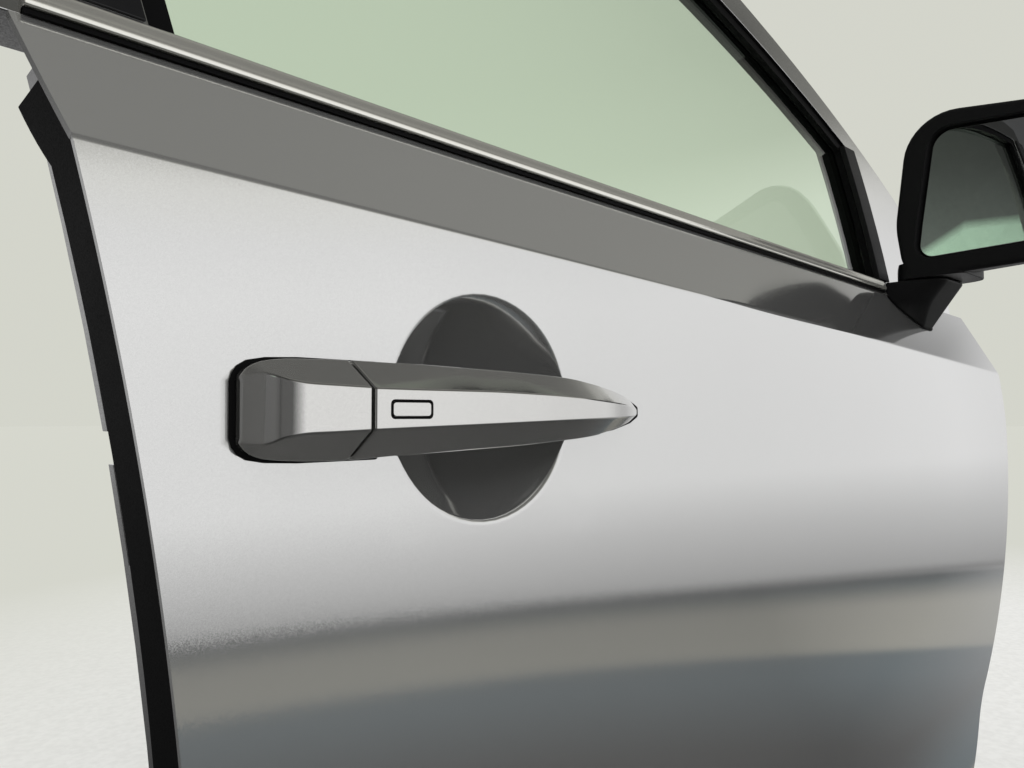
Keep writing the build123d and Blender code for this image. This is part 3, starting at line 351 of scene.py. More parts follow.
def make_drawn():
    """Drawn or brushed metal: fine lines along one axis, with smudges."""
    tree, given = group("drawn_metal", (
        ("Colour", "colour", (0.6, 0.6, 0.6)),
        ("Stretch", "vector", (1, 30, 30)),
        ("Gloss", "value", 0.28),
        ("Depth", "value", 0.1),
    ))
    where = object_coords(tree)
    pulled = vector_node(tree, "MULTIPLY", where, given["Stretch"])
    lines = noise_node(tree, pulled, scale=60.0, detail=5.0, roughness=0.7).outputs[0]
    smudge = noise_node(tree, where, scale=22.0, detail=4.0).outputs[0]
    level = math_node(tree, "MULTIPLY_ADD", lines, 0.22, 0.89)
    tone = vector_node(tree, "SCALE", given["Colour"], scale=level)
    bump = new_node(
        tree, "ShaderNodeBump", {"Strength": given["Depth"], "Distance": 0.0002, "Height": lines}
    ).outputs[0]
    rough = swing(tree, smudge, 0.2, given["Gloss"])
    rough = math_node(tree, "MULTIPLY_ADD", lines, 0.1, rough, clamp=True)
    new_node(tree, "NodeGroupOutput", {"Colour": tone, "Normal": bump, "Roughness": rough})
    return tree


EFFECTS = {"flake": make_flake(), "grain": make_grain(), "drawn": make_drawn()}


def material(name, effect=None, values=(), **principled):
    """A finish: a Principled surface whose colour, normal and roughness come from one effect."""
    made = bpy.data.materials.new(name)
    made.use_nodes = True
    tree = made.node_tree
    surface = tree.nodes["Principled BSDF"]
    for key, value in principled.items():
        surface.inputs[key.replace("_", " ")].default_value = value
    if effect:
        look = new_node(tree, "ShaderNodeGroup", node_tree=EFFECTS[effect])
        for key, value in dict(values).items():
            look.inputs[key].default_value = value
        for source, target in (("Colour", "Base Color"), ("Normal", "Normal"), ("Roughness", "Roughness")):
            tree.links.new(look.outputs[source], surface.inputs[target])
    return made


SILVER = (0.63, 0.63, 0.625, 1)
# The handle's and mirror cap's silver is the body's paint made a shade darker and warmer: painted shade
# for the dimmer room they reflect
HANDLE_SILVER = (0.61, 0.605, 0.59, 1)
FINE_FLAKE = {"Grain size": 0.0003, "Tilt": 0.014, "Shade": 0.08}
COARSE_FLAKE = {"Grain size": 0.0005, "Tilt": 0.06, "Shade": 0.08}
LACQUER = {"Coat_Weight": 1.0, "Coat_Roughness": 0.03, "Coat_IOR": 1.5}
FINISH = {
    "body_paint": material(
        "body_silver", "flake", {"Colour": SILVER, **FINE_FLAKE}, Metallic=0.88, **LACQUER,
    ),
    "handle_paint": material(
        "handle_silver", "flake", {"Colour": HANDLE_SILVER, **FINE_FLAKE}, Metallic=0.95, **LACQUER,
    ),
    "frame_paint": material(
        "shut_face_silver", "flake", {"Colour": SILVER, **COARSE_FLAKE}, Metallic=1.0,
        Coat_Weight=0.6, Coat_Roughness=0.12, Coat_IOR=1.5,
    ),
    "seal_rubber": material(
        "seal_rubber", "grain",
        {"Colour": (0.003, 0.003, 0.0033, 1), "Pebble size": 0.0006, "Depth": 0.12, "Gloss": 0.5,
         "Dust": 0.005},
        Specular_IOR_Level=0.08,
    ),
    "side_glass": material(
        "green_tinted_glass", Base_Color=(0.80, 0.935, 0.79, 1), Roughness=0.0, IOR=1.45,
        Transmission_Weight=1.0,
    ),
    "bright_trim": material(
        "satin_bright_trim", "drawn",
        {"Colour": (0.76, 0.75, 0.70, 1), "Stretch": (1, 40, 40), "Gloss": 0.1, "Depth": 0.03},
        Metallic=0.84,
    ),
    "gloss_black": material(
        "gloss_black", "grain",
        {"Colour": (0.008, 0.008, 0.009, 1), "Pebble size": 0.004, "Depth": 0.006, "Gloss": 0.06,
         "Dust": 0.01},
        Coat_Weight=0.15, Coat_Roughness=0.03, Specular_IOR_Level=0.25,
    ),
    "satin_black": material(
        "satin_black_plastic", "grain",
        {"Colour": (0.006, 0.006, 0.0065, 1), "Pebble size": 0.0007, "Depth": 0.1, "Gloss": 0.36,
         "Dust": 0.012},
        Specular_IOR_Level=0.14,
    ),
    "mirror_silver": material(
        "mirror_silver", "drawn",
        {"Colour": (0.82, 0.84, 0.84, 1), "Stretch": (1, 1, 1), "Gloss": -0.06, "Depth": 0.0},
        Metallic=1.0,
    ),
    "steel": material(
        "zinc_plated_steel", "drawn",
        {"Colour": (0.42, 0.42, 0.41, 1), "Stretch": (3, 3, 3), "Gloss": 0.38, "Depth": 0.12},
        Metallic=1.0,
    ),
    "trim_plastic": material(
        "grained_trim", "grain",
        {"Colour": (0.028, 0.028, 0.03, 1), "Pebble size": 0.0016, "Depth": 0.5, "Gloss": 0.48,
         "Dust": 0.1},
    ),
    "trim_soft": material(
        "soft_trim", "grain",
        {"Colour": (0.036, 0.035, 0.036, 1), "Pebble size": 0.0024, "Depth": 0.42, "Gloss": 0.5,
         "Dust": 0.08},
        Sheen_Weight=0.15,
    ),
    "satin_metal": material(
        "satin_alloy", "drawn",
        {"Colour": (0.6, 0.6, 0.59, 1), "Stretch": (2, 30, 30), "Gloss": 0.26, "Depth": 0.06},
        Metallic=1.0,
    ),
}

for name, node in NODES.items():
    node.data.materials.clear()
    node.data.materials.append(FINISH[SLOT_OF[name]])


# Mesh tools: points are in millimetres of the datum, unless they say otherwise


def finished(obj, slot, body="door", replaces=()):
    """Gives a piece its finish, its body and the nodes it stands for."""
    if not obj.data.materials:
        obj.data.materials.append(FINISH[slot])
    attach(obj, body)
    if replaces:
        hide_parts(*replaces)
    return obj


def plain_object(name, bm):
    """An object of a finished bmesh."""
    bmesh.ops.recalc_face_normals(bm, faces=bm.faces)
    mesh = bpy.data.meshes.new(name)
    bm.to_mesh(mesh)
    bm.free()
    made = bpy.data.objects.new(name, mesh)
    bpy.context.scene.collection.objects.link(made)
    return made


def smooth_object(name, bm, sharp=35.0, weighted=True):
    """An object of a finished bmesh, smooth but for its sharp edges."""
    made = plain_object(name, bm)
    for polygon in made.data.polygons:
        polygon.use_smooth = True
    made.data.set_sharp_from_angle(angle=math.radians(sharp))
    if weighted:
        made.modifiers.new("weighted", "WEIGHTED_NORMAL").keep_sharp = True
    return made


def taken(obj):
    """The object's mesh as a bmesh; the object itself is dropped."""
    bm = bmesh.new()
    bm.from_mesh(obj.data)
    bpy.data.objects.remove(obj)
    return bm


def evaluated_mesh(obj):
    """The object's mesh with its modifiers worked in."""
    return bpy.data.meshes.new_from_object(obj.evaluated_get(bpy.context.evaluated_depsgraph_get()))


def cut_by(obj, cutter, operation="DIFFERENCE"):
    """Applies a boolean of one object on another and drops the cutter."""
    step = obj.modifiers.new("cut", "BOOLEAN")
    step.object, step.operation, step.solver = cutter, operation, "EXACT"
    mesh = evaluated_mesh(obj)
    bpy.data.objects.remove(cutter)
    obj.modifiers.remove(step)
    obj.data = mesh
    return obj


def rounded_edges(bm, width, sharp=28.0, segments=3):
    """Rounds every edge that turns by more than an angle."""
    edges = [e for e in bm.edges if len(e.link_faces) == 2 and e.calc_face_angle(0) > math.radians(sharp)]
    bevelled(bm, edges, width * MM, segments)


def bevelled(bm, edges, offset, segments):
    """Rounds the named edges by an offset in the bmesh's own unit."""
    bmesh.ops.bevel(
        bm, geom=edges, offset=offset, segments=segments, profile=0.5, affect="EDGES", clamp_overlap=True
    )


def lofted(rings, round_again=False, place=at):
    """A bmesh of quads between closed loops of points, closed by its two ends or round to its start."""
    bm = bmesh.new()
    loops = [[bm.verts.new(place(*p)) for p in ring] for ring in rings]
    following = loops[1:] + (loops[:1] if round_again else [])
    for a, b in zip(loops, following):
        for i in range(len(a)):
            j = (i + 1) % len(a)
            bm.faces.new((a[i], a[j], b[j], b[i]))
    if not round_again:
        bm.faces.new(list(reversed(loops[0])))
        bm.faces.new(loops[-1])
    return bm


def turns(count, start=0.0):
    """Even angles round a circle."""
    return [start + 2 * math.pi * k / count for k in range(count)]


def quarter(steps, first=0):
    """Even angles over a quarter of a circle."""
    return [math.pi / 2 * k / steps for k in range(first, steps + 1)]


def block(x, y, z, round_by=0.0):
    """A block between three (low, high) pairs, its edges rounded."""
    corners = [(x[0], z[0]), (x[1], z[0]), (x[1], z[1]), (x[0], z[1])]
    bm = lofted([[(px, py, pz) for px, pz in corners] for py in y])
    bmesh.ops.recalc_face_normals(bm, faces=bm.faces)
    if round_by:
        rounded_edges(bm, round_by, segments=2)
    return bm


def joined_into(bm, part):
    """Moves one bmesh's faces into another."""
    step = bpy.data.meshes.new("step")
    part.to_mesh(step)
    part.free()
    bm.from_mesh(step)
    bpy.data.meshes.remove(step)


def rounded_loop(corners, radii, steps=6):
    """Closed 2-D outline with each corner rounded, always with the same number of points."""
    points = []
    count = len(corners)
    for i, radius in enumerate(radii):
        corner = Vector(corners[i])
        before = Vector(corners[i - 1]) - corner
        after = Vector(corners[(i + 1) % count]) - corner
        half = before.angle(after) / 2
        reach = min(radius / math.tan(half), 0.48 * before.length, 0.48 * after.length)
        radius = reach * math.tan(half)
        start, end = corner + before.normalized() * reach, corner + after.normalized() * reach
        middle = (before.normalized() + after.normalized()).normalized()
        centre = corner + middle * (radius / math.sin(half))
        a, b = start - centre, end - centre
        turn = a.angle(b) if min(a.length, b.length) > 1e-6 else 0.0
        for k in range(steps + 1):
            t = k / steps
            if turn < 1e-5:
                points.append(start.lerp(end, t))
            else:
                from_a, from_b = math.sin((1 - t) * turn), math.sin(t * turn)
                points.append(centre + (a * from_a + b * from_b) / math.sin(turn))
    return points


def inset_loop(points, inset):
    """Outline moved inwards by a small distance."""
    count = len(points)
    area = sum(points[i - 1].x * points[i].y - points[i].x * points[i - 1].y for i in range(count))
    sign = 1 if area > 0 else -1
    moved = []
    for i, point in enumerate(points):
        run = points[(i + 1) % count] - points[i - 1]
        normal = Vector((-run.y, run.x)).normalized() * sign
        moved.append(point + normal * inset)
    return moved


def graded(anchors, step):
    """The anchors with even steps filled in between them."""
    values = []
    for a, b in zip(anchors, anchors[1:]):
        count = max(1, math.ceil((b - a) / step - 1e-6))
        values += [a + (b - a) * k / count for k in range(count)]
    return values + [anchors[-1]]


def eased(table, x):
    """Row of a table at x, by monotone cubic interpolation of each column."""
    xs = [row[0] for row in table]
    if x <= xs[0]:
        return table[0][1:]
    if x >= xs[-1]:
        return table[-1][1:]
    i = max(k for k in range(len(xs) - 1) if xs[k] <= x)
    h = xs[i + 1] - xs[i]
    t = (x - xs[i]) / h
    rise = 3 * t**2 - 2 * t**3
    found = []
    for column in range(1, len(table[0])):
        values = [row[column] for row in table]
        slopes = [(values[k + 1] - values[k]) / (xs[k + 1] - xs[k]) for k in range(len(xs) - 1)]

        def tangent(k):
            if k == 0 or k == len(xs) - 1:
                return slopes[min(k, len(slopes) - 1)]
            a, b = slopes[k - 1], slopes[k]
            return 0.0 if a * b <= 0 else 2 * a * b / (a + b)

        start, end = values[i], values[i + 1]
        leaving, arriving = tangent(i) * h, tangent(i + 1) * h
        bend = leaving * (t**3 - 2 * t**2 + t) + arriving * (t**3 - t**2)
        found.append(start * (1 - rise) + end * rise + bend)
    return found


def circle_through(a, b, c):
    """Centre and radius of the circle through three 2-D points."""
    (ax, ay), (bx, by), (cx, cy) = a, b, c
    d = 2 * (ax * (by - cy) + bx * (cy - ay) + cx * (ay - by))
    x = ((ax**2 + ay**2) * (by - cy) + (bx**2 + by**2) * (cy - ay) + (cx**2 + cy**2) * (ay - by)) / d
    y = ((ax**2 + ay**2) * (cx - bx) + (bx**2 + by**2) * (ax - cx) + (cx**2 + cy**2) * (bx - ax)) / d
    return x, y, math.hypot(ax - x, ay - y)


def arc_across(a, b, c, height):
    """First coordinate, at a height, of the arc through three 2-D points."""
    x, y, radius = circle_through(a, b, c)
    reach = math.sqrt(max(radius**2 - (height - y) ** 2, 0.0))
    return x + reach if b[0] > x else x - reach


MERGE = 2e-6


def softened(node, width, sharp=28.0, segments=3):
    """A copy of a CAD node with its doubles merged and its edges rounded, in the node's place."""
    bm = bmesh.new()
    bm.from_mesh(NODES[node].data)
    bmesh.ops.remove_doubles(bm, verts=bm.verts, dist=MERGE)
    bmesh.ops.dissolve_limit(bm, angle_limit=math.radians(0.5), verts=bm.verts, edges=bm.edges)
    rounded_edges(bm, width, sharp, segments)
    bmesh.ops.remove_doubles(bm, verts=bm.verts, dist=MERGE)
    made = smooth_object(node + "_dressed", bm, 40.0)
    return finished(made, SLOT_OF[node], BODY_OF[node], [node])


# Outer skin: one pressed sheet over the whole flank, with the handle's dish

# Its section: (depth, height) of each line, the widest line at depth 0
SILL_Z, SILL_Y = -480.0, 34.0
HOLLOW = (36.5, -415.0)
KNEE = (27.0, -344.0)
WIDEST = (0.0, -40.0)
CREASE_Y, CREASE_SOFT, CREASE_ZONE = 4.3, 0.8, 12.0
CREASE_REAR_Z, CREASE_FALL = 98.0, 0.0426
SHOULDER_SAG = 0.6
BELT_Y, BELT_START_X, BELT_START_Z, BELT_FALL = 50.0, 256.0, 148.0, 0.0274
PLAN_MIDDLE_X, PLAN_SPREAD = 350.0, 40000.0
SKIN_T, HEM_R = 3.0, 0.7
# Its edges seen from the side: arcs through three (x, z) points, with rounded feet
FRONT_SPLIT = (1090.0, -10.0)
REAR_LINE = ((-40.0, 175.0), (-1.0, 0.0), (40.0, SILL_Z))
FRONT_LINE_HIGH = (FRONT_SPLIT, (1062.0, 85.0), (1004.0, 175.0))
FRONT_LINE_LOW = ((1062.0, SILL_Z), (1087.0, -220.0), FRONT_SPLIT)
REAR_CORNER_R, FRONT_CORNER_R = 45.0, 75.0
DISH_X, DISH_Z, DISH_R, DISH_DEPTH, DISH_SOFT = 170.0, 3.0, 59.5, 24.0, 1.5
DISH_BALL_R = (DISH_R**2 + DISH_DEPTH**2) / (2 * DISH_DEPTH)
DISH_REACH = DISH_R + 8.0


def plan_y(x):
    """How far the flank draws in towards its ends."""
    return (x - PLAN_MIDDLE_X) ** 2 / PLAN_SPREAD


def crease_z(x):
    """Height of the crease under the shoulder."""
    return CREASE_REAR_Z - CREASE_FALL * x


def belt_z(x):
    """Height of the skin's upper edge."""
    return BELT_START_Z - BELT_FALL * (x - BELT_START_X)


def soft_max(a, b, width):
    """The larger of two values, with the step between them rounded."""
    overlap = max(width - abs(a - b), 0.0) / width
    return max(a, b) + overlap**2 * width / 4


def sheet_y(x, z):
    """Depth of the pressed sheet without its dish."""
    y = plan_y(x)
    knee = (KNEE[0] + y, KNEE[1])
    crease = (CREASE_Y + y, crease_z(x))
    if z < KNEE[1]:
        return arc_across((SILL_Y + y, SILL_Z), (HOLLOW[0] + y, HOLLOW[1]), knee, z)
    flank = arc_across(knee, (WIDEST[0] + y, WIDEST[1]), crease, z)
    if z < crease[1] - CREASE_ZONE:
        return flank
    belt = (BELT_Y, belt_z(x))
    middle = ((crease[0] + belt[0]) / 2 + SHOULDER_SAG, (crease[1] + belt[1]) / 2 - SHOULDER_SAG)
    return soft_max(flank, arc_across(crease, middle, belt, z), CREASE_SOFT)


def skin_y(x, z):
    """Depth of the skin's outer face."""
    y = sheet_y(x, z)
    out = math.hypot(x - DISH_X, z - DISH_Z)
    if out > DISH_REACH:
        return y
    ball = plan_y(DISH_X) + DISH_DEPTH - DISH_BALL_R + math.sqrt(DISH_BALL_R**2 - out**2)
    return soft_max(y, ball, DISH_SOFT)


def skin_normal(x, z):
    """Outboard normal of the skin."""
    step = 0.05
    slope_x = (skin_y(x + step, z) - skin_y(x - step, z)) / (2 * step)
    slope_z = (skin_y(x, z + step) - skin_y(x, z - step)) / (2 * step)
    return Vector((slope_x, -1.0, slope_z)).normalized()


def rear_x(z):
    """The skin's rear edge, with its rounded foot."""
    x = arc_across(*REAR_LINE, z)
    drop = max(SILL_Z + REAR_CORNER_R - z, 0.0)
    return x + REAR_CORNER_R - math.sqrt(REAR_CORNER_R**2 - drop**2)


def front_x(z):
    """The skin's front edge, with its rounded foot."""
    if z > FRONT_SPLIT[1]:
        return arc_across(*FRONT_LINE_HIGH, z)
    x = arc_across(*FRONT_LINE_LOW, z)
    drop = max(SILL_Z + FRONT_CORNER_R - z, 0.0)
    return x - FRONT_CORNER_R + math.sqrt(FRONT_CORNER_R**2 - drop**2)


# (x, z) openings through the skin for the handle's leg and pivot lug
LEG_SLOTS = (((79.0, 99.4), (-9.3, 9.3)), ((274.5, 287.3), (-4.9, 4.9)))
BY_SLOT_X, BY_SLOT_Z = 9.0, 20.0
# Distances of the mesh's rows and columns from the crease, the sill and the two ends
NEAR_CREASE = (8.0, 5.0, 3.0, 1.8, 0.9, 0.0)
NEAR_SILL = (0.0, 0.6, 2.4, 5.4, 9.6, 15.0, 21.6, 29.0, 37.0, 45.0, 54.0, 64.0, 75.0)
NEAR_END = (0.0, 1.2, 4.0, 10.0)
LENGTH, BELOW_BELT, MIDDLE_X = 1090.0, 3.0, 500.0
LEG_SLOT_COLUMNS = (80.3, 100.5, 106.0, 276.0, 288.5)
LOW_STEP, FLANK_STEP, SHOULDER_STEP, COLUMN_STEP = 12.0, 7.5, 4.5, 9.0
# How far the window in the grid reaches past the dish, and the rings' distances from its edge
WINDOW_X, WINDOW_Z = DISH_R + 5.5, DISH_R + 7.5
DISH_EDGE = (3.3, 2.5, 1.7, 1.2, 0.8, 0.4, 0.0, -0.4, -0.8, -1.2, -1.9, -3.0)


def skin_rows():
    """Row functions: each gives the height of one row of the mesh at x."""
    low = [SILL_Z + rise for rise in NEAR_SILL]
    rows = [lambda x, z=z: z for z in graded(low + [KNEE[1]], LOW_STEP)[:-1]]
    anchors = [0.0]
    for (x0, x1), heights in LEG_SLOTS:
        middle = crease_z((x0 + x1) / 2) - KNEE[1]
        anchors += [(z - KNEE[1]) / middle for z in heights]
    tall = crease_z(0) - KNEE[1]
    anchors += [1 - d / tall for d in NEAR_CREASE]
    rows += [
        lambda x, t=t: KNEE[1] + t * (crease_z(x) - KNEE[1])
        for t in graded(sorted(anchors), FLANK_STEP / tall)[:-1]
    ]
    tall = belt_z(0) - crease_z(0)
    anchors = [d / tall for d in reversed(NEAR_CREASE)] + [1 - BELOW_BELT / tall, 1.0]
    rows += [
        lambda x, t=t: crease_z(x) + t * (belt_z(x) - crease_z(x))
        for t in graded(anchors, SHOULDER_STEP / tall)
    ]
    return rows


def skin_columns():
    """Shares of the way from the rear edge to the front edge."""
    anchors = [*NEAR_END, *LEG_SLOT_COLUMNS, *(LENGTH - d for d in reversed(NEAR_END))]
    return [x / LENGTH for x in graded(anchors, COLUMN_STEP)]


def x_across(z, share):
    """x at a share of the way from the rear edge to the front edge."""
    return rear_x(z) + share * (front_x(z) - rear_x(z))


def skin_grid(rows, columns):
    """(x, z) where each row meets each column; rows slope, so each point is closed in on."""
    grid = []
    for row in rows:
        line = []
        for share in columns:
            z = row(MIDDLE_X)
            for _ in range(4):
                x = x_across(z, share)
                z = row(x)
            line.append((x, z))
        grid.append(line)
    return grid


def flank_faces(bm):
    """The grid's faces, apart from the slots and a window for the dish, whose vertices it gives."""
    rows, columns = skin_rows(), skin_columns()
    grid = skin_grid(rows, columns)
    verts = {}

    def vert(key):
        if key not in verts:
            x, z = grid[key[0]][key[1]]
            verts[key] = bm.verts.new((x, skin_y(x, z), z))
        return verts[key]

    across = [x_across(DISH_Z, share) for share in columns]
    heights = [row(DISH_X) for row in rows]
    near_dish_x = [abs((a + b) / 2 - DISH_X) < WINDOW_X for a, b in zip(across, across[1:])]
    near_dish_z = [abs((a + b) / 2 - DISH_Z) < WINDOW_Z for a, b in zip(heights, heights[1:])]
    window_keys = set()
    for i in range(len(rows) - 1):
        for j in range(len(columns) - 1):
            quad = ((i, j), (i, j + 1), (i + 1, j + 1), (i + 1, j))
            x = sum(grid[a][b][0] for a, b in quad) / 4
            z = sum(grid[a][b][1] for a, b in quad) / 4
            if near_dish_x[j] and near_dish_z[i]:
                window_keys.update(quad)
            elif not any(sx[0] < x < sx[1] and sz[0] < z < sz[1] for sx, sz in LEG_SLOTS):
                bm.faces.new([vert(key) for key in quad])
    return [verts[key] for key in window_keys if key in verts]


def dish_faces(bm, window):
    """Rings of faces from the window into the dish, on the rays of the window's own vertices."""

    def angle_of(v):
        return math.atan2(v.co.z - DISH_Z, v.co.x - DISH_X)

    outer = sorted(window, key=angle_of)
    angles = [angle_of(v) for v in outer]
    radii = [DISH_R + step for step in DISH_EDGE] + graded([6.0, DISH_R - 3.5], 4.0)[::-1][1:]
    for radius in radii:
        ring = []
        for angle in angles:
            x, z = DISH_X + radius * math.cos(angle), DISH_Z + radius * math.sin(angle)
            ring.append(bm.verts.new((x, skin_y(x, z), z)))
        for k in range(len(ring)):
            bm.faces.new((outer[k - 1], outer[k], ring[k], ring[k - 1]))
        outer = ring
    bm.faces.new(outer)


def by_a_slot(point):
    """Whether a point of the skin is close to one of the handle's slots."""
    near = any(x0 - BY_SLOT_X < point.x < x1 + BY_SLOT_X for (x0, x1), heights in LEG_SLOTS)
    return near and abs(point.z) < BY_SLOT_Z


def door_skin():
    """Grid over the flank, rings in the dish, then the sheet's thickness and its folded edge."""
    bm = bmesh.new()
    dish_faces(bm, flank_faces(bm))
    bm.normal_update()
    front_faces = list(bm.faces)
    rim = [e for e in bm.edges if e.is_boundary]
    back = {v: bm.verts.new(v.co - skin_normal(v.co.x, v.co.z) * SKIN_T) for v in list(bm.verts)}
    for v in back.values():
        v.co.z = max(v.co.z, SILL_Z)
    for face in front_faces:
        bm.faces.new([back[v] for v in reversed(face.verts)])
    for edge in rim:
        a, b = edge.verts
        bm.faces.new((a, b, back[b], back[a]))
    bmesh.ops.recalc_face_normals(bm, faces=bm.faces)
    fold = [e for e in rim if not by_a_slot(e.verts[0].co)]
    bevelled(bm, fold, HEM_R, 3)
    for v in bm.verts:
        v.co = at(*v.co)
    return finished(smooth_object("door_skin", bm, 50.0), "body_paint", "door", ["outer_skin"])


door_skin()


# Outside handle: fixed cap, grip, black liner, request button in its black ring, rubber pads

# Columns: x, top z, bottom z, y of the widest line, y of the face, face top z, face bottom z
GRIP_TABLE = (
    (81.3, 21.2, -21.3, -14.0, -33.0, 8.9, -8.2),
    (104.0, 20.9, -20.0, -16.0, -34.2, 8.7, -7.5),
    (140.0, 20.2, -18.7, -18.7, -35.0, 8.6, -6.4),
    (172.0, 19.3, -17.5, -19.4, -34.9, 7.9, -5.4),
    (205.0, 18.0, -15.6, -18.2, -32.2, 6.6, -4.5),
    (235.0, 15.0, -13.5, -14.5, -26.5, 5.0, -3.8),
    (260.0, 11.5, -9.8, -9.8, -18.2, 3.5, -3.0),
    (276.0, 7.6, -6.2, -6.2, -11.0, 2.3, -2.4),
    (284.5, 3.3, -2.9, -3.0, -5.5, 1.1, -1.5),
)
CAP_TABLE = (
    (37.4, 13.6, -13.6, -3.0, -6.5, 12.6, -12.6),
    (39.6, 17.2, -17.2, -6.0, -17.5, 14.2, -13.8),
    (44.5, 19.5, -19.5, -9.0, -28.0, 12.0, -11.0),
    (53.0, 20.6, -20.5, -11.5, -31.4, 10.3, -9.4),
    (66.0, 21.0, -21.1, -13.0, -32.7, 9.7, -8.9),
    (79.7, 21.2, -21.3, -14.0, -33.0, 9.2, -8.3),
)
# Behind its widest line a bar draws in to this share at this depth
FOOT_Y, FOOT_DRAW_IN = 8.0, 0.9
LINER_X = (103.0, 241.0)
LINER_Y = -16.5
FINGER_ARC = ((106.0, 0.0), (172.0, -16.0), (238.0, 0.0))
FACE_R, SIDE_R, BACK_R, LINER_R = 1.6, 3.2, 0.3, 2.0
GRIP_LIFT, CAP_LIFT, LINER_GAP = 3.0, 1.9, 0.25
BUTTON_X, BUTTON_Z, BUTTON_R, BUTTON_LINE = (88.2, 109.2), (-3.8, 4.4), 2.0, 1.2
OUTSIDE_Y, POCKET_Y, KEY_BACK_Y, KEY_RISE = -60.0, -31.2, -29.6, 0.15
KEY_RING_Y = (-31.3, -32.9)
# Leg behind the grip, the leg's hook, the pivot lug and its pin
GRIP_BLOCKS = (
    ((84.0, 96.0), (-13.0, 56.0), (-7.0, 7.0)),
    ((84.0, 108.0), (50.0, 56.0), (-7.0, 7.0)),
    ((277.5, 284.0), (-4.0, 8.5), (-2.6, 2.6)),
    ((279.3, 282.7), (5.3, 8.7), (-8.4, 8.4)),
)


def grip_back(x):
    """Depth of the grip's back: clear of the skin, and hollowed for the fingers."""
    back = sheet_y(x, 0.0) - GRIP_LIFT
    if FINGER_ARC[0][0] < x < FINGER_ARC[2][0]:
        back = min(back, arc_across(*((y, px) for px, y in FINGER_ARC), x))
    return back


def bar_loop(table, x, back, front=None):
    """Rounded outline of a bar's cross section, cut off at its back and, for a liner, at its front."""
    top, bottom, wide_y, face_y, face_top, face_bottom = eased(table, x)

    def drawn(half, y):
        return half * (1 - (1 - FOOT_DRAW_IN) * (y - wide_y) / (FOOT_Y - wide_y))

    wide_y = min(wide_y, back - 0.4)
    if front is not None:
        corners = [(back, drawn(top, back)), (front, drawn(top, front))]
        corners += [(front, drawn(bottom, front)), (back, drawn(bottom, back))]
        return rounded_loop(corners, (LINER_R, BACK_R, BACK_R, LINER_R))
    corners = [(back, drawn(top, back)), (wide_y, top), (face_y, face_top)]
    corners += [(face_y, face_bottom), (wide_y, bottom), (back, drawn(bottom, back))]
    small = min(1.0, top / 12)
    side, face = SIDE_R * small, FACE_R * small
    return rounded_loop(corners, (BACK_R, side, face, face, side, BACK_R))


def bar_rings(stations, loop_at, ends):
    """Rings of a bar, its two ends rounded by a radius each."""
    first, last = stations[0], stations[-1]
    rings = [(first + ends[0] * (1 - math.cos(a)), ends[0] * (1 - math.sin(a))) for a in quarter(4)]
    rings += [(x, 0.0) for x in stations if first + ends[0] < x < last - ends[1]]
    rings += [(last - ends[1] * (1 - math.sin(a)), ends[1] * (1 - math.cos(a))) for a in quarter(4)]
    return [[(x, p.x, p.y) for p in inset_loop(loop_at(x), inset)] for x, inset in rings]


def painted_back(x):
    """Depth where the grip's painted shell ends: at the black liner, or at the grip's back."""
    if LINER_X[0] <= x <= LINER_X[1]:
        return max(LINER_Y, eased(GRIP_TABLE, x)[2] + 0.6)
    return grip_back(x)


def button_corners(line=0.0):
    """The key's outline, smaller all round by a line."""
    (x0, x1), (z0, z1) = BUTTON_X, BUTTON_Z
    return (x0 + line, z0 + line), (x1 - line, z0 + line), (x1 - line, z1 - line), (x0 + line, z1 - line)


def button_tool(line, back):
    """Cutting tool for the key's pocket, or for the key itself."""
    loop = rounded_loop(button_corners(line), (BUTTON_R - line / 2,) * 4)
    return plain_object("tool", lofted([[(p.x, y, p.y) for p in loop] for y in (OUTSIDE_Y, back)]))


def grip():
    """The painted grip with the key's pocket, its leg and its pin."""
    (x0, x1), e = LINER_X, 0.01
    stations = graded([GRIP_TABLE[0][0], x0 - e, x0, x1, x1 + e, GRIP_TABLE[-1][0]], 3.0)
    rings = bar_rings(stations, lambda x: bar_loop(GRIP_TABLE, x, painted_back(x)), (1.0, 0.9))
    bm = taken(cut_by(plain_object("grip_shell", lofted(rings)), button_tool(0.0, POCKET_Y)))
    for x, y, z in GRIP_BLOCKS:
        joined_into(bm, block(x, y, z, 0.8))
    finished(smooth_object("handle_grip_shell", bm), "handle_paint", "handle", ["handle_grip"])


def grip_liner():
    """The black liner behind the grip's painted shell."""

    def loop_at(x):
        return bar_loop(GRIP_TABLE, x, grip_back(x), painted_back(x) + LINER_GAP)

    bm = lofted(bar_rings(graded([LINER_X[0] + 0.3, LINER_X[1] - 0.3], 3.0), loop_at, (0.4, 0.4)))
    finished(smooth_object("handle_liner", bm), "satin_black", "handle", ["handle_grip_liner"])


def cap():
    """The fixed cap behind the grip."""
    stations = graded([CAP_TABLE[0][0], CAP_TABLE[-1][0]], 1.4)
    rings = bar_rings(stations, lambda x: bar_loop(CAP_TABLE, x, sheet_y(x, 0.0) - CAP_LIFT), (0.5, 1.0))
    finished(smooth_object("handle_end_cap", lofted(rings)), "handle_paint", "door", ["handle_cap"])


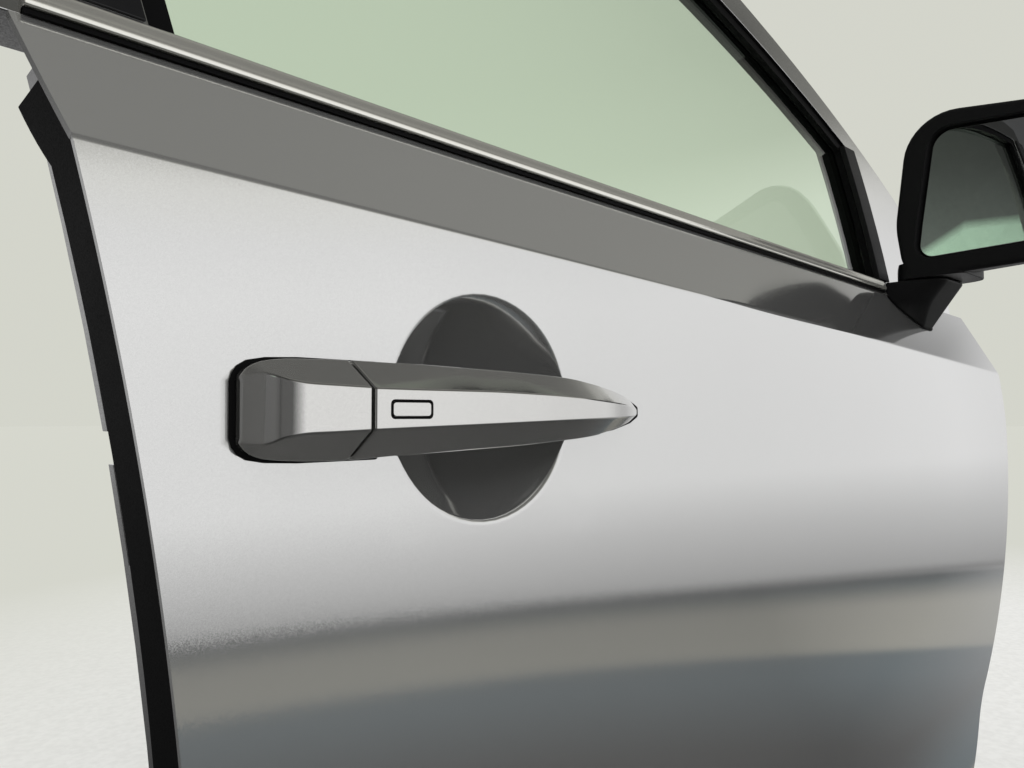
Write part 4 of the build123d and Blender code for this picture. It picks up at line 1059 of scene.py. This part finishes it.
def request_key():
    """The button, cut from a form that follows the grip's face, in a black ring."""
    key = button_tool(BUTTON_LINE, KEY_BACK_Y)

    def lifted(x):
        return [Vector((p.x - KEY_RISE, p.y)) for p in bar_loop(GRIP_TABLE, x, -20.0)]

    form = plain_object("key_form", lofted(bar_rings(graded([84.0, 114.0], 2.0), lifted, (0.2, 0.2))))
    bm = taken(cut_by(form, key, "INTERSECT"))
    rounded_edges(bm, 0.35, 50.0, 2)
    finished(smooth_object("request_key", bm), "handle_paint", "handle", ["request_button"])
    outer = inset_loop(rounded_loop(button_corners(), (BUTTON_R,) * 4), 0.02)
    inner = inset_loop(outer, BUTTON_LINE - 0.06)
    (low, high), rings = KEY_RING_Y, []
    for loop, y in ((outer, low), (outer, high), (inner, high), (inner, low)):
        rings.append([(p.x, y, p.y) for p in loop])
    finished(smooth_object("request_key_ring", lofted(rings, True)), "seal_rubber", "handle")


# Rubber pads: node, upper half of the outline, corner radius
PADS = (
    (
        "handle_cap_gasket",
        ((35.2, 11.5), (36.3, 15.0), (38.4, 17.9), (42.5, 20.4), (50, 21.8), (64.5, 22.5), (104, 22.3)),
        1.6,
    ),
    ("handle_tip_gasket", ((250, 13.5), (268, 11.0), (284, 7.0), (291.5, 3.0)), 2.0),
)
# Section of a pad's rolled edge: inset, lift over the skin
PAD_EDGE = ((0.0, 0.3), (0.0, 1.0), (0.15, 1.3), (0.5, 1.45), (2.6, 1.48), (2.6, 0.3))


def pad(node, half, radius):
    """Rubber pad with a rolled edge between the skin and the handle, open under the slot."""
    corners = half + tuple((x, -z) for x, z in reversed(half))
    outline = rounded_loop(corners, (radius,) * len(corners), 4)
    fine = []
    for i, point in enumerate(outline):
        run = (point - outline[i - 1]).length
        if run > 1e-4:
            count = max(1, math.ceil(run / 4.0))
            fine += [outline[i - 1].lerp(point, (k + 1) / count) for k in range(count)]
    rings = []
    for inset, lift in PAD_EDGE:
        rings.append([(p.x, sheet_y(p.x, p.y) - lift, p.y) for p in inset_loop(fine, inset)])
    finished(smooth_object(node + "_rolled", lofted(rings, True)), "seal_rubber", "door", [node])


grip()
grip_liner()
cap()
request_key()
for node, half, radius in PADS:
    pad(node, half, radius)


# Belt: a satin bright moulding with a rounded lip over a black seal

# Depth and height above the belt round each section
BRIGHT_LIP = (
    (57.4, 5.0), (53.0, 5.0), (52.4, 3.6), (48.4, 3.2), (47.6, 3.4), (47.2, 4.0),
    (47.05, 5.0), (47.05, 6.2), (47.3, 7.0), (47.9, 7.7), (48.7, 9.4), (49.5, 11.3),
    (50.3, 12.9), (51.2, 13.8), (52.4, 14.15), (55.8, 14.15), (57.0, 13.4), (57.5, 12.0),
)
BLACK_LIP = ((48.3, 0.35), (48.3, 1.0), (48.05, 1.3), (48.05, 1.8), (48.6, 2.1), (49.0, 2.9), (52.2, 3.1))
WIPER = ((58.0, 4.5), (59.3, 9.9), (60.2, 10.4), (62.2, 10.1), (62.8, 9.6), (60.0, 0.35))
BASE = ((51.6, 4.5), (51.7, 0.35))
MOULDING_X = (-30.0, 794.0)
WIPER_X = (37.5, 781.0)
END_ROUND, END_SHRINK = 0.6, 0.06


def along_belt(name, points, x, slot, replaces=()):
    """A strip of one section along the belt, its ends a little rounded."""
    middle = Vector((sum(p[0] for p in points), sum(p[1] for p in points))) / len(points)
    rings = []
    for px in graded([x[0], x[0] + END_ROUND, x[1] - END_ROUND, x[1]], 30.0):
        near = min(px - x[0], x[1] - px, END_ROUND) / END_ROUND
        scale = 1 - END_SHRINK * (1 - near)
        rings.append([
            (px, middle.x + (y - middle.x) * scale, belt_z(px) + middle.y + (lift - middle.y) * scale)
            for y, lift in points
        ])
    return finished(smooth_object(name, lofted(rings), 50.0), slot, "door", replaces)


along_belt("belt_bright_strip", BRIGHT_LIP, MOULDING_X, "bright_trim", ["belt_moulding"])
along_belt("belt_outer_seal", BLACK_LIP + WIPER, WIPER_X, "seal_rubber", ["belt_seal_outer"])
along_belt("belt_seal_rear_foot", BLACK_LIP + BASE, (MOULDING_X[0], WIPER_X[0] - 0.1), "seal_rubber")
along_belt("belt_seal_front_foot", BLACK_LIP + BASE, (WIPER_X[1] + 0.1, MOULDING_X[1]), "seal_rubber")
softened("belt_seal_inner", 0.4, 30.0, 2)


# Door mirror: rounded head with a painted cap, glass in its recess, neck, and the foot below

# Columns: x, then y and z of the lower inner, middle inner, upper inner, upper outer and
# lower outer corners, then their five radii
HEAD_TABLE = (
    (797.0, 31, 145, 40, 205, 24, 329, -182, 300, -178, 153, 30, 90, 50, 45, 60),
    (842.0, 26, 149, 30, 207, 14, 325, -174, 297, -168, 160, 28, 90, 46, 45, 55),
    (885.0, -10, 166, -9, 214, -12, 302, -138, 284, -132, 180, 18, 60, 38, 35, 35),
)
# Corners of the glass, seen from behind: y and z in the same order, then their radii
GLASS_CORNERS = ((20, 166), (15, 206), (0, 306), (-168, 292), (-166, 172))
GLASS_RADII = (16, 40, 22, 30, 70)
RIM_X, GLASS_X, GLASS_T, RECESS_X = 797.0, 805.0, 3.0, 808.4
RIM_R, CAP_EDGE_R, CAP_EDGE_X = 6.0, 16.0, 869.0
# Depths and insets of the rings of the glass's edge, and of the recess round it
GLASS_EDGE = ((GLASS_X + GLASS_T, 2.0), (GLASS_X + 1.0, 2.0), (GLASS_X + 0.3, 2.2), (GLASS_X, 2.9))
RECESS_EDGE = ((RECESS_X, 0.0), (799.0, 0.0), (797.9, -0.3), (797.25, -0.9), (RIM_X, -2.0))
FOLD_X, FOLD_Y, FOLD_Z, NECK_R, SPUR_R = 832.0, 2.0, 146.6, 45.8, 48.0
# Heights and insets of the rings of the neck
NECK_RINGS = (
    (146.6, 1.2), (147.0, 0.4), (147.8, 0.0), (152.0, 0.0), (156.0, 0.0), (160.0, 0.0), (164.0, 0.0),
)
NECK_TAPER_Z, NECK_TAPER_TALL = 158.0, 18.0
# Reach of the neck outboard and inboard of the fold, each with what the taper takes off it
NECK_OUTBOARD, NECK_INBOARD = (32.0, 20.0), (43.0, 12.0)
WIDE_Y = (-300.0, 100.0)
CAP_ZONE = ((846.3, 1000.0), WIDE_Y, (176.3, 400.0))
HOUSING_ZONE = ((845.7, 1000.0), WIDE_Y, (175.7, 400.0))
UNDER_FOLD = ((700.0, 1000.0), WIDE_Y, (60.0, FOLD_Z))
# Columns: z, then x and y of the rear inner, rear outer, front outer and front inner
# corners, then their four radii
FOOT_TABLE = (
    (94.0, 852, 49.5, 858, 35, 887, 35, 887, 49.5, 1, 9, 10, 1),
    (126.0, 799, 49.5, 806, 8, 887, 8, 887, 49.5, 1, 22, 26, 1),
    (145.4, 796, 49.5, 800, -9, 887, -9, 887, 49.5, 1, 22, 30, 1),
)
FOOT_TOP, FOOT_TOP_R, FOOT_REAR_X, FOOT_BACK_Y = 145.4, 3.0, 796.0, 49.5
# Heights and insets of the rings of the spur behind the neck
SPUR_RINGS = (
    (141.0, 0.0), (146.0, 0.0), (152.0, 0.0), (158.0, 0.0), (164.0, 0.0), (170.5, 0.0), (172.0, 0.5),
)
SPUR_LEAN, SPUR_TIP_Y = 14 / 27.6, 46.5
SKIN_GAP, PAD_BACK, PAD_BELOW_BELT, PAD_GROW = 1.8, 0.3, 3.0, 1.5
TOOL_X, TOOL_LOW_Z, TOOL_HIGH_Z = (780.0, 900.0), 60.0, 190.0
FOOT_BED_Y, TOOL_DEEP_Y = 49.6, 70.0


def cornered(table, station, inset=0.0):
    """Rounded outline at a station of a table of corners and their radii."""
    row = eased(table, station)
    corners = len(row) // 3 * 2
    outline = rounded_loop(list(zip(row[0:corners:2], row[1:corners:2])), row[corners:], 10)
    return inset_loop(outline, inset)


def glass_outline(inset=0.0):
    """The mirror glass's outline, moved inwards."""
    outline = rounded_loop(GLASS_CORNERS, GLASS_RADII, 10)
    return inset_loop(outline, inset) if inset else outline


def head_solid():
    """The whole head, from the recess for the glass over the rim to the rounded front."""
    stops = [(x, glass_outline(inset)) for x, inset in RECESS_EDGE]
    for turn in quarter(6):
        x = RIM_X + RIM_R * (1 - math.cos(turn))
        stops.append((x, cornered(HEAD_TABLE, x, RIM_R * (1 - math.sin(turn)))))
    stops += [(x, cornered(HEAD_TABLE, x)) for x in graded([RIM_X + RIM_R, CAP_EDGE_X], 6.0)[1:-1]]
    for turn in quarter(8):
        x = CAP_EDGE_X + CAP_EDGE_R * math.sin(turn)
        stops.append((x, cornered(HEAD_TABLE, x, CAP_EDGE_R * (1 - math.cos(turn)))))
    return plain_object("head", lofted([[(x, p.x, p.y) for p in loop] for x, loop in stops]))


def block_tool(zone):
    """A cutting block over a zone."""
    return plain_object("tool", block(*zone))


def neck_solid():
    """The neck's round body, flattened towards the glass and the door, each flat blended in."""
    rings = []
    for z, inset in NECK_RINGS:
        taper = max(z - NECK_TAPER_Z, 0.0) / NECK_TAPER_TALL
        outboard, inboard = (reach - less * taper for reach, less in (NECK_OUTBOARD, NECK_INBOARD))
        ring = []
        for turn in turns(72):
            c, s = math.cos(turn), math.sin(turn)
            limits = [NECK_R]
            if c < -1e-3:
                limits.append((FOLD_X - RIM_X) / -c)
            if abs(s) > 1e-3:
                limits.append(inboard / s if s > 0 else outboard / -s)
            reach = sum(r**-18 for r in limits) ** (-1 / 18) - inset
            ring.append((FOLD_X + reach * c, FOLD_Y + reach * s, z))
        rings.append(ring)
    return plain_object("neck", lofted(rings))


def dressed_solid(obj, name, width):
    """A cut solid cleaned, its sharp edges rounded, and made smooth."""
    bm = taken(obj)
    bmesh.ops.remove_doubles(bm, verts=bm.verts, dist=5e-6)
    bmesh.ops.dissolve_degenerate(bm, dist=5e-6, edges=bm.edges)
    if width:
        rounded_edges(bm, width, segments=2)
    return smooth_object(name, bm, 40.0)


def mirror_head():
    """The painted cap and the black housing with its neck, cut from one head."""
    housing, cap = head_solid(), head_solid()
    cut_by(cap, block_tool(CAP_ZONE), "INTERSECT")
    finished(dressed_solid(cap, "mirror_cap_shell", 0.5), "handle_paint", "mirror", ["mirror_cap"])
    cut_by(housing, block_tool(HOUSING_ZONE))
    cut_by(housing, block_tool(UNDER_FOLD))
    cut_by(housing, neck_solid(), "UNION")
    shell = dressed_solid(housing, "mirror_head_shell", 0.5)
    finished(shell, "satin_black", "mirror", ["mirror_housing"])


def mirror_pane():
    """The mirror's glass with its ground edge."""
    bm = lofted([[(x, p.x, p.y) for p in glass_outline(inset)] for x, inset in GLASS_EDGE])
    finished(smooth_object("mirror_pane", bm, 30.0), "mirror_silver", "mirror", ["mirror_glass"])


def along_skin(front, back=None, below_belt=0.0):
    """A slab that follows the skin's face, as a cutting tool; without a back it fills all inboard."""
    rings = []
    for x in graded(TOOL_X, 6.0):
        edge = belt_z(x)
        heights = [TOOL_LOW_Z + (edge - below_belt - TOOL_LOW_Z) * k / 20 for k in range(21)]
        ring = [(sheet_y(x, z) - front, z) for z in heights]
        if back is None:
            ring += [(FOOT_BED_Y, edge), (FOOT_BED_Y, TOOL_HIGH_Z)]
            ring += [(TOOL_DEEP_Y, TOOL_HIGH_Z), (TOOL_DEEP_Y, TOOL_LOW_Z)]
        else:
            ring += [(sheet_y(x, z) - back, z) for z in reversed(heights)]
        rings.append([(x, y, z) for y, z in ring])
    return plain_object("tool", lofted(rings))


def spur_solid():
    """The foot's raised tongue behind the neck, hollowed round it."""
    low = FOLD_Y + math.sqrt(SPUR_R**2 - (FOLD_X - FOOT_REAR_X) ** 2)
    rings = []
    for z, inset in SPUR_RINGS:
        inner = min(FOOT_BACK_Y, 50 - max(z - FOOT_TOP, 0.0) * SPUR_LEAN)
        high = min(SPUR_TIP_Y, inner - 0.2)
        ring = [(FOOT_REAR_X + inset, inner - inset / 3, z), (FOOT_REAR_X + inset, low, z)]
        for k in range(1, 9):
            y = low + (high - low) * k / 8
            ring.append((FOLD_X - math.sqrt(SPUR_R**2 - (y - FOLD_Y) ** 2), y, z))
        ring.append((ring[-1][0], inner - inset / 3, z))
        rings.append(ring)
    return plain_object("spur", lofted(rings))


def foot_solid(grow=0.0):
    """The foot's tapered body with a rounded top, or the same a little larger for its gasket."""
    straight = FOOT_TOP - FOOT_TOP_R
    stops = [(z, -grow) for z in graded([FOOT_TABLE[0][0], straight], 2.5)]
    for a in quarter(5, 1):
        stops.append((straight + FOOT_TOP_R * math.sin(a), FOOT_TOP_R * (1 - math.cos(a)) - grow))
    rings = [[(p.x, p.y, z) for p in cornered(FOOT_TABLE, z, inset)] for z, inset in stops]
    return plain_object("foot", lofted(rings))


def mirror_foot():
    """The foot, cut to the skin's face, and the gasket between them."""
    foot, gasket = foot_solid(), foot_solid(PAD_GROW)
    cut_by(foot, spur_solid(), "UNION")
    cut_by(foot, along_skin(SKIN_GAP))
    finished(dressed_solid(foot, "mirror_foot_shell", 0.0), "satin_black", "door", ["mirror_foot"])
    cut_by(gasket, along_skin(SKIN_GAP, PAD_BACK, PAD_BELOW_BELT), "INTERSECT")
    pad_mesh = dressed_solid(gasket, "mirror_foot_pad", 0.3)
    finished(pad_mesh, "seal_rubber", "door", ["mirror_foot_gasket"])


mirror_head()
mirror_pane()
mirror_foot()


# Every other piece keeps its CAD form with its edges rounded; widths in millimetres
EDGE_WIDTHS = {
    "inner_shell": 0.7, "window_frame": 0.8, "run_channel": 0.3, "frame_seal": 0.6, "front_post": 0.8,
    # the rear edge seal is real black rubber, made deeper than a real one so that its black also stands
    # for the shade in the shut gap: partly painted shade
    "pillar_garnish": 0.8, "rear_edge_seal": 0.8, "perimeter_seal": 0.8, "latch": 0.5,
    "handle_pivot_bracket": 0.5, "hinge_upper_door_leaf": 0.5, "hinge_lower_door_leaf": 0.5,
    "hinge_upper_body_leaf": 0.5, "hinge_lower_body_leaf": 0.5,
    "mirror_glass_carrier": 0.5, "mirror_pivot_bush": 0.5, "trim_panel": 1.0, "trim_upper": 1.2,
    "armrest": 1.2, "switch_panel": 0.6, "window_switches": 0.6, "inner_release_bezel": 0.6,
    "inner_release_lever": 0.6, "map_pocket": 1.0, "sail_trim_inner": 0.8, "speaker_grille": 0.6,
}
for name, width in EDGE_WIDTHS.items():
    softened(name, width)

# Painted shade in satin black covers what faces inboard, and what faces back ahead of a point (here in
# metres)
PAINTED_SHADE_INBOARD, PAINTED_SHADE_BACK, PAINTED_SHADE_START_X = 0.3, -0.4, -0.6


def frame_painted_shade():
    """The window frame's return, round and behind the glass, is body-coloured metal given satin black:
    painted shade where it lies in shadow.
    """
    mesh = bpy.data.objects["window_frame_dressed"].data
    # black faces here are painted shade, not a film the frame really has
    mesh.materials.append(FINISH["satin_black"])
    for polygon in mesh.polygons:
        faces_back = polygon.normal.x < PAINTED_SHADE_BACK and polygon.center.x > PAINTED_SHADE_START_X
        if polygon.normal.y > PAINTED_SHADE_INBOARD or faces_back:
            polygon.material_index = 1


frame_painted_shade()


# Repeated small pieces, laid out by geometry nodes and turned into plain meshes

PATTERN_INPUTS = {
    "Piece": "NodeSocketObject", "Finish": "NodeSocketMaterial", "Count": "NodeSocketInt",
    "Rows": "NodeSocketInt", "Start": "NodeSocketVector", "Step": "NodeSocketVector",
    "Row step": "NodeSocketVector", "Turn": "NodeSocketVector", "Reach": "NodeSocketFloat",
    "Jitter": "NodeSocketFloat", "Seed": "NodeSocketInt",
}


def pattern_tree(name, lay_out):
    """A geometry tree that puts one piece on laid-out points, with named inputs."""
    tree = bpy.data.node_groups.new(name, "GeometryNodeTree")
    for label, kind in PATTERN_INPUTS.items():
        tree.interface.new_socket(label, in_out="INPUT", socket_type=kind)
    tree.interface.new_socket("Geometry", in_out="OUTPUT", socket_type="NodeSocketGeometry")
    given = tree.nodes.new("NodeGroupInput").outputs
    points = lay_out(tree, given)
    piece = new_node(
        tree, "GeometryNodeObjectInfo", {"Object": given["Piece"]}, transform_space="ORIGINAL"
    ).outputs["Geometry"]
    wander = new_node(
        tree, "FunctionNodeRandomValue", {"Min": (-1, -1, -1), "Max": (1, 1, 1), "Seed": given["Seed"]},
        data_type="FLOAT_VECTOR",
    ).outputs[0]
    wander = vector_node(tree, "SCALE", wander, scale=given["Jitter"])
    turn = vector_node(tree, "ADD", given["Turn"], wander)
    placed = new_node(
        tree, "GeometryNodeInstanceOnPoints",
        {"Points": points, "Instance": piece, "Rotation": turn},
    )
    real = new_node(tree, "GeometryNodeRealizeInstances", {0: placed.outputs[0]})
    dressed = new_node(
        tree, "GeometryNodeSetMaterial", {"Geometry": real.outputs[0], "Material": given["Finish"]}
    )
    new_node(tree, "NodeGroupOutput", {0: dressed.outputs[0]})
    return tree


def lay_rows(tree, given):
    """Rows of a line of points."""
    line = new_node(
        tree, "GeometryNodeMeshLine",
        {"Count": given["Count"], "Start Location": given["Start"], "Offset": given["Step"]},
    )
    rows = new_node(tree, "GeometryNodeMeshLine", {"Count": given["Rows"], "Offset": given["Row step"]})
    spread = new_node(
        tree, "GeometryNodeInstanceOnPoints", {"Points": rows.outputs[0], "Instance": line.outputs[0]}
    )
    return new_node(tree, "GeometryNodeRealizeInstances", {0: spread.outputs[0]}).outputs[0]


def lay_disc(tree, given):
    """The same rows, every second one shifted by half a step, kept inside the speaker's circle."""
    rows = lay_rows(tree, given)
    index = new_node(tree, "GeometryNodeInputIndex").outputs[0]
    row = math_node(tree, "FLOOR", math_node(tree, "DIVIDE", index, given["Count"]))
    shift = vector_node(tree, "SCALE", given["Step"], scale=0.5)
    moved = vector_node(tree, "SCALE", shift, scale=math_node(tree, "MODULO", row, 2.0))
    rows = new_node(tree, "GeometryNodeSetPosition", {"Geometry": rows, "Offset": moved}).outputs[0]
    here = new_node(tree, "GeometryNodeInputPosition").outputs[0]
    far = vector_node(tree, "DISTANCE", here, tuple(at(*GRILLE_CENTRE)))
    outside = math_node(tree, "GREATER_THAN", far, given["Reach"])
    return new_node(tree, "GeometryNodeDeleteGeometry", {0: rows, 1: outside}, domain="POINT").outputs[0]


# Centre of the speaker's sheet, the pitch of its holes, its radius, and the ring and cloth round it
GRILLE_CENTRE, GRILLE_PITCH, GRILLE_R = (875.0, 130.5, -325.0), 5.2, 74.2
GRILLE_HOLES, GRILLE_ROWS, GRILLE_SUNK = 31, 35, 1.2
RING_SECTION = (
    (76.6, 127.4), (76.6, 131.0), (77.2, 131.9), (78.4, 132.2), (80.2, 131.8), (81.6, 130.6),
    (82.0, 129.2), (82.0, 127.4),
)
CLOTH_R, CLOTH_Y = 76.6, (127.4, 128.2)
ROWS, DISC = pattern_tree("piece_rows", lay_rows), pattern_tree("piece_disc", lay_disc)


def repeated(name, tree, piece, slot, body="door", **inputs):
    """Runs a pattern once and keeps its result as a plain mesh."""
    holder = bpy.data.objects.new(name, bpy.data.meshes.new(name))
    bpy.context.scene.collection.objects.link(holder)
    step = holder.modifiers.new("pattern", "NODES")
    step.node_group = tree
    values = {"Piece": piece, "Finish": FINISH[slot], "Rows": 1, "Seed": 7, "Jitter": 0.0, **inputs}
    for socket in tree.interface.items_tree:
        key = socket.name.replace(" ", "_")
        if socket.in_out == "INPUT" and key in values:
            step[socket.identifier] = values[key]
    mesh = evaluated_mesh(holder)
    holder.modifiers.remove(step)
    holder.data = mesh
    mesh.name = name
    bpy.data.objects.remove(piece)
    return finished(holder, slot, body)


# The small pieces themselves, in millimetres about their own middle, standing along Y


def step_mm(*v):
    """A step in millimetres, without the datum."""
    return Vector(v) * MM


def small_piece(name, rings, sharp, round_again=False):
    """A lofted piece about its own middle."""
    return smooth_object(name, lofted(rings, round_again, step_mm), sharp, weighted=False)


def turned_piece(name, profile, sides, facets=()):
    """A turned piece from (radius, depth) pairs; the rings numbered in facets are hexagons."""
    third = math.pi / 3
    rings = []
    for k, (radius, depth) in enumerate(profile):
        ring = []
        for turn in turns(sides):
            r = radius / math.cos((turn % third) - third / 2) if k in facets else radius
            ring.append((r * math.cos(turn), depth, r * math.sin(turn)))
        rings.append(ring)
    return small_piece(name, rings, 30.0)


def hexagon_tile():
    """One cell of the speaker's perforated sheet: a hexagon round a hole."""
    outer, inner = GRILLE_PITCH / math.sqrt(3), GRILLE_PITCH * 0.33
    section = ((outer, 0.0), (outer, 1.0), (inner + 0.35, 1.0), (inner, 0.7), (inner, 0.0))
    corners = turns(6, math.pi / 6)
    rings = [[(r * math.cos(a), depth, r * math.sin(a)) for a in corners] for r, depth in section]
    return small_piece("tile", rings, 40.0, True)


def stitch_piece(length, width, height):
    """A stitch: a small rounded pad along +X, standing towards +Y."""
    rings = []
    for x, scale in ((-0.5, 0.35), (-0.32, 0.9), (0.0, 1.0), (0.32, 0.9), (0.5, 0.35)):
        rings.append([
            (x * length, height * scale * math.cos(a), width / 2 * scale * math.sin(a)) for a in turns(6)
        ])
    return small_piece("stitch", rings, 60.0)


BOLT = ((8.4, 0.0), (8.4, -1.0), (8.0, -1.6), (6.2, -1.7), (6.2, -5.4), (5.6, -6.2), (2.4, -6.2))
SCREW = ((5.0, 0.0), (5.0, 0.7), (4.3, 1.5), (3.1, 2.0), (2.0, 2.1), (2.0, 0.9), (1.2, 0.8))
PLUG = ((9.0, 0.0), (9.0, 0.8), (7.6, 1.7), (5.4, 2.0), (4.6, 1.2), (2.0, 1.0))


def screw_piece(flip=1):
    """A low round screw with a six-sided socket."""
    return turned_piece("screw", [(r, depth * flip) for r, depth in SCREW], 18, facets=(4, 5))


def speaker():
    """Perforated sheet in a rounded ring, over a dark cloth disc."""
    cx, cy, cz = GRILLE_CENTRE

    def round_it(r, y, angle):
        return cx + r * math.cos(angle), y, cz + r * math.sin(angle)

    ring = lofted([[round_it(r, y, a) for r, y in RING_SECTION] for a in turns(96)], True)
    finished(smooth_object("speaker_ring", ring, 40.0), "satin_black", "door", ["speaker_grille"])
    cloth = lofted([[round_it(CLOTH_R, y, a) for a in turns(96)] for y in CLOTH_Y])
    finished(smooth_object("speaker_cloth", cloth, 40.0), "seal_rubber")
    rise = GRILLE_PITCH * math.sqrt(3) / 2
    half_wide, half_tall = (GRILLE_HOLES - 1) / 2 * GRILLE_PITCH, (GRILLE_ROWS - 1) / 2 * rise
    repeated(
        "speaker_sheet", DISC, hexagon_tile(), "satin_black", Count=GRILLE_HOLES, Rows=GRILLE_ROWS,
        Reach=GRILLE_R * MM, Start=at(cx - half_wide, cy - GRILLE_SUNK, cz - half_tall),
        Step=step_mm(GRILLE_PITCH, 0, 0), Row_step=step_mm(0, 0, rise),
    )


# The two seams along the belt roll: depth, height above the belt, turn about the seam
SEAMS = ((130.2, 1.0, 62.0), (124.6, 3.6, 75.0))
SEAM_START_X, STITCH_PITCH = 66.0, 5.3


def stitches():
    """Twin seams along the belt roll."""
    for k, (y, lift, turn) in enumerate(SEAMS):
        repeated(
            f"roll_seam_{k + 1}", ROWS, stitch_piece(3.8, 0.9, 0.5), "trim_soft", Count=170,
            Jitter=0.03, Seed=11 + k, Start=at(SEAM_START_X, y, belt_z(SEAM_START_X) + lift),
            Step=step_mm(STITCH_PITCH, 0, -STITCH_PITCH * BELT_FALL),
            Turn=(math.radians(turn), BELT_FALL, 0),
        )


HINGE_Z, BOLT_PITCH, LEAF_FACE_Y = (45.0, -225.0), 36.0, 73.0
LATCH_SCREW_Y, LATCH_SCREW_Z = 71.5, (-64.0, 26.0)


def screws():
    """Hinge bolts, latch screws, the pull cup's screws, and rubber plugs in the shell."""
    for k, z in enumerate(HINGE_Z):
        repeated(
            f"pillar_bolts_{k + 1}", ROWS, turned_piece("bolt", BOLT, 24, facets=(3, 4)), "steel",
            "pillar_leaves", Count=2, Start=at(1096.0, LEAF_FACE_Y, z - BOLT_PITCH / 2),
            Step=step_mm(0, 0, BOLT_PITCH),
        )
    # the latch's rear face keeps one distance from the door's rear edge
    spots = [(v.co - DATUM) / MM for v in NODES["latch"].data.vertices]
    inset = min(p.x - rear_x(p.z) for p in spots)
    low, high = (Vector((rear_x(z) + inset, LATCH_SCREW_Y, z)) for z in LATCH_SCREW_Z)
    repeated(
        "latch_screws", ROWS, screw_piece(-1), "steel", Count=3, Start=at(*low),
        Step=(high - low) * MM / 2, Turn=(0, 0, -math.pi / 2),
    )
    repeated(
        "cup_screws", ROWS, screw_piece(), "steel", Count=2, Start=at(472.0, 142.0, -91.9),
        Step=step_mm(68.0, 0, 0), Turn=(math.pi / 2, 0, 0),
    )
    repeated(
        "shell_plugs", ROWS, turned_piece("plug", PLUG, 20), "seal_rubber", Count=5,
        Start=at(120.0, 112.0, -452.0), Step=step_mm(190.0, 0, 0),
    )


# The pocket's face leans 16 in 108
POCKET_LEAN = math.atan2(16.0, 108.0)
RIB_HALF, RIB_R = ((-0.8, 0.8), (-0.9, 0.9), (-44.0, 44.0)), 0.5


def pocket_ribs():
    """Upright ribs on the map pocket's leaning face."""
    rib = smooth_object("rib", block(*RIB_HALF, RIB_R), 40.0, weighted=False)
    rib.data.transform(Matrix.Translation(-DATUM))
    repeated(
        "pocket_ribs", ROWS, rib, "trim_plastic", Count=56, Start=at(180.0, 172.1, -370.0),
        Step=step_mm(10.0, 0, 0), Turn=(-POCKET_LEAN, 0, 0),
    )


speaker()
stitches()
screws()
pocket_ribs()


# Floor

FLOOR_REACH, FLOOR_DROP = 40.0, 0.004
SPECKLE_STOPS = ((0.35, (0.74, 0.74, 0.72)), (0.65, (0.80, 0.80, 0.78)))
# Distances in metres between which the floor fades into the backdrop
NEAR_FLOOR, FAR_FLOOR = 1.2222, 2.3333
BLACK = (0, 0, 0, 1)


def pale_floor():
    """A fine-speckled floor that turns into the backdrop with distance."""
    finish = material("pale_floor", Roughness=0.9, Specular_IOR_Level=0.1, Emission_Strength=1.0)
    tree = finish.node_tree
    where = object_coords(tree)
    fade = between(tree, vector_node(tree, "LENGTH", where), NEAR_FLOOR, FAR_FLOOR)
    plain = ramp(tree, noise_node(tree, where, scale=90.0, detail=6.0).outputs[0], SPECKLE_STOPS)
    surface = tree.nodes["Principled BSDF"]
    for label, near, far in (("Base Color", plain, BLACK), ("Emission Color", BLACK, BACKDROP)):
        tree.links.new(mix_node(tree, fade, near, far), surface.inputs[label])
    mesh = bpy.data.meshes.new("floor")
    low, reach = CAD_BOX[0].z - FLOOR_DROP, FLOOR_REACH
    corners = [(-reach, -reach, low), (reach, -reach, low), (reach, reach, low), (-reach, reach, low)]
    mesh.from_pydata(corners, [], [(0, 1, 2, 3)])
    mesh.materials.append(finish)
    floor = bpy.data.objects.new("floor", mesh)
    floor.visible_glossy = False
    bpy.context.scene.collection.objects.link(floor)


pale_floor()
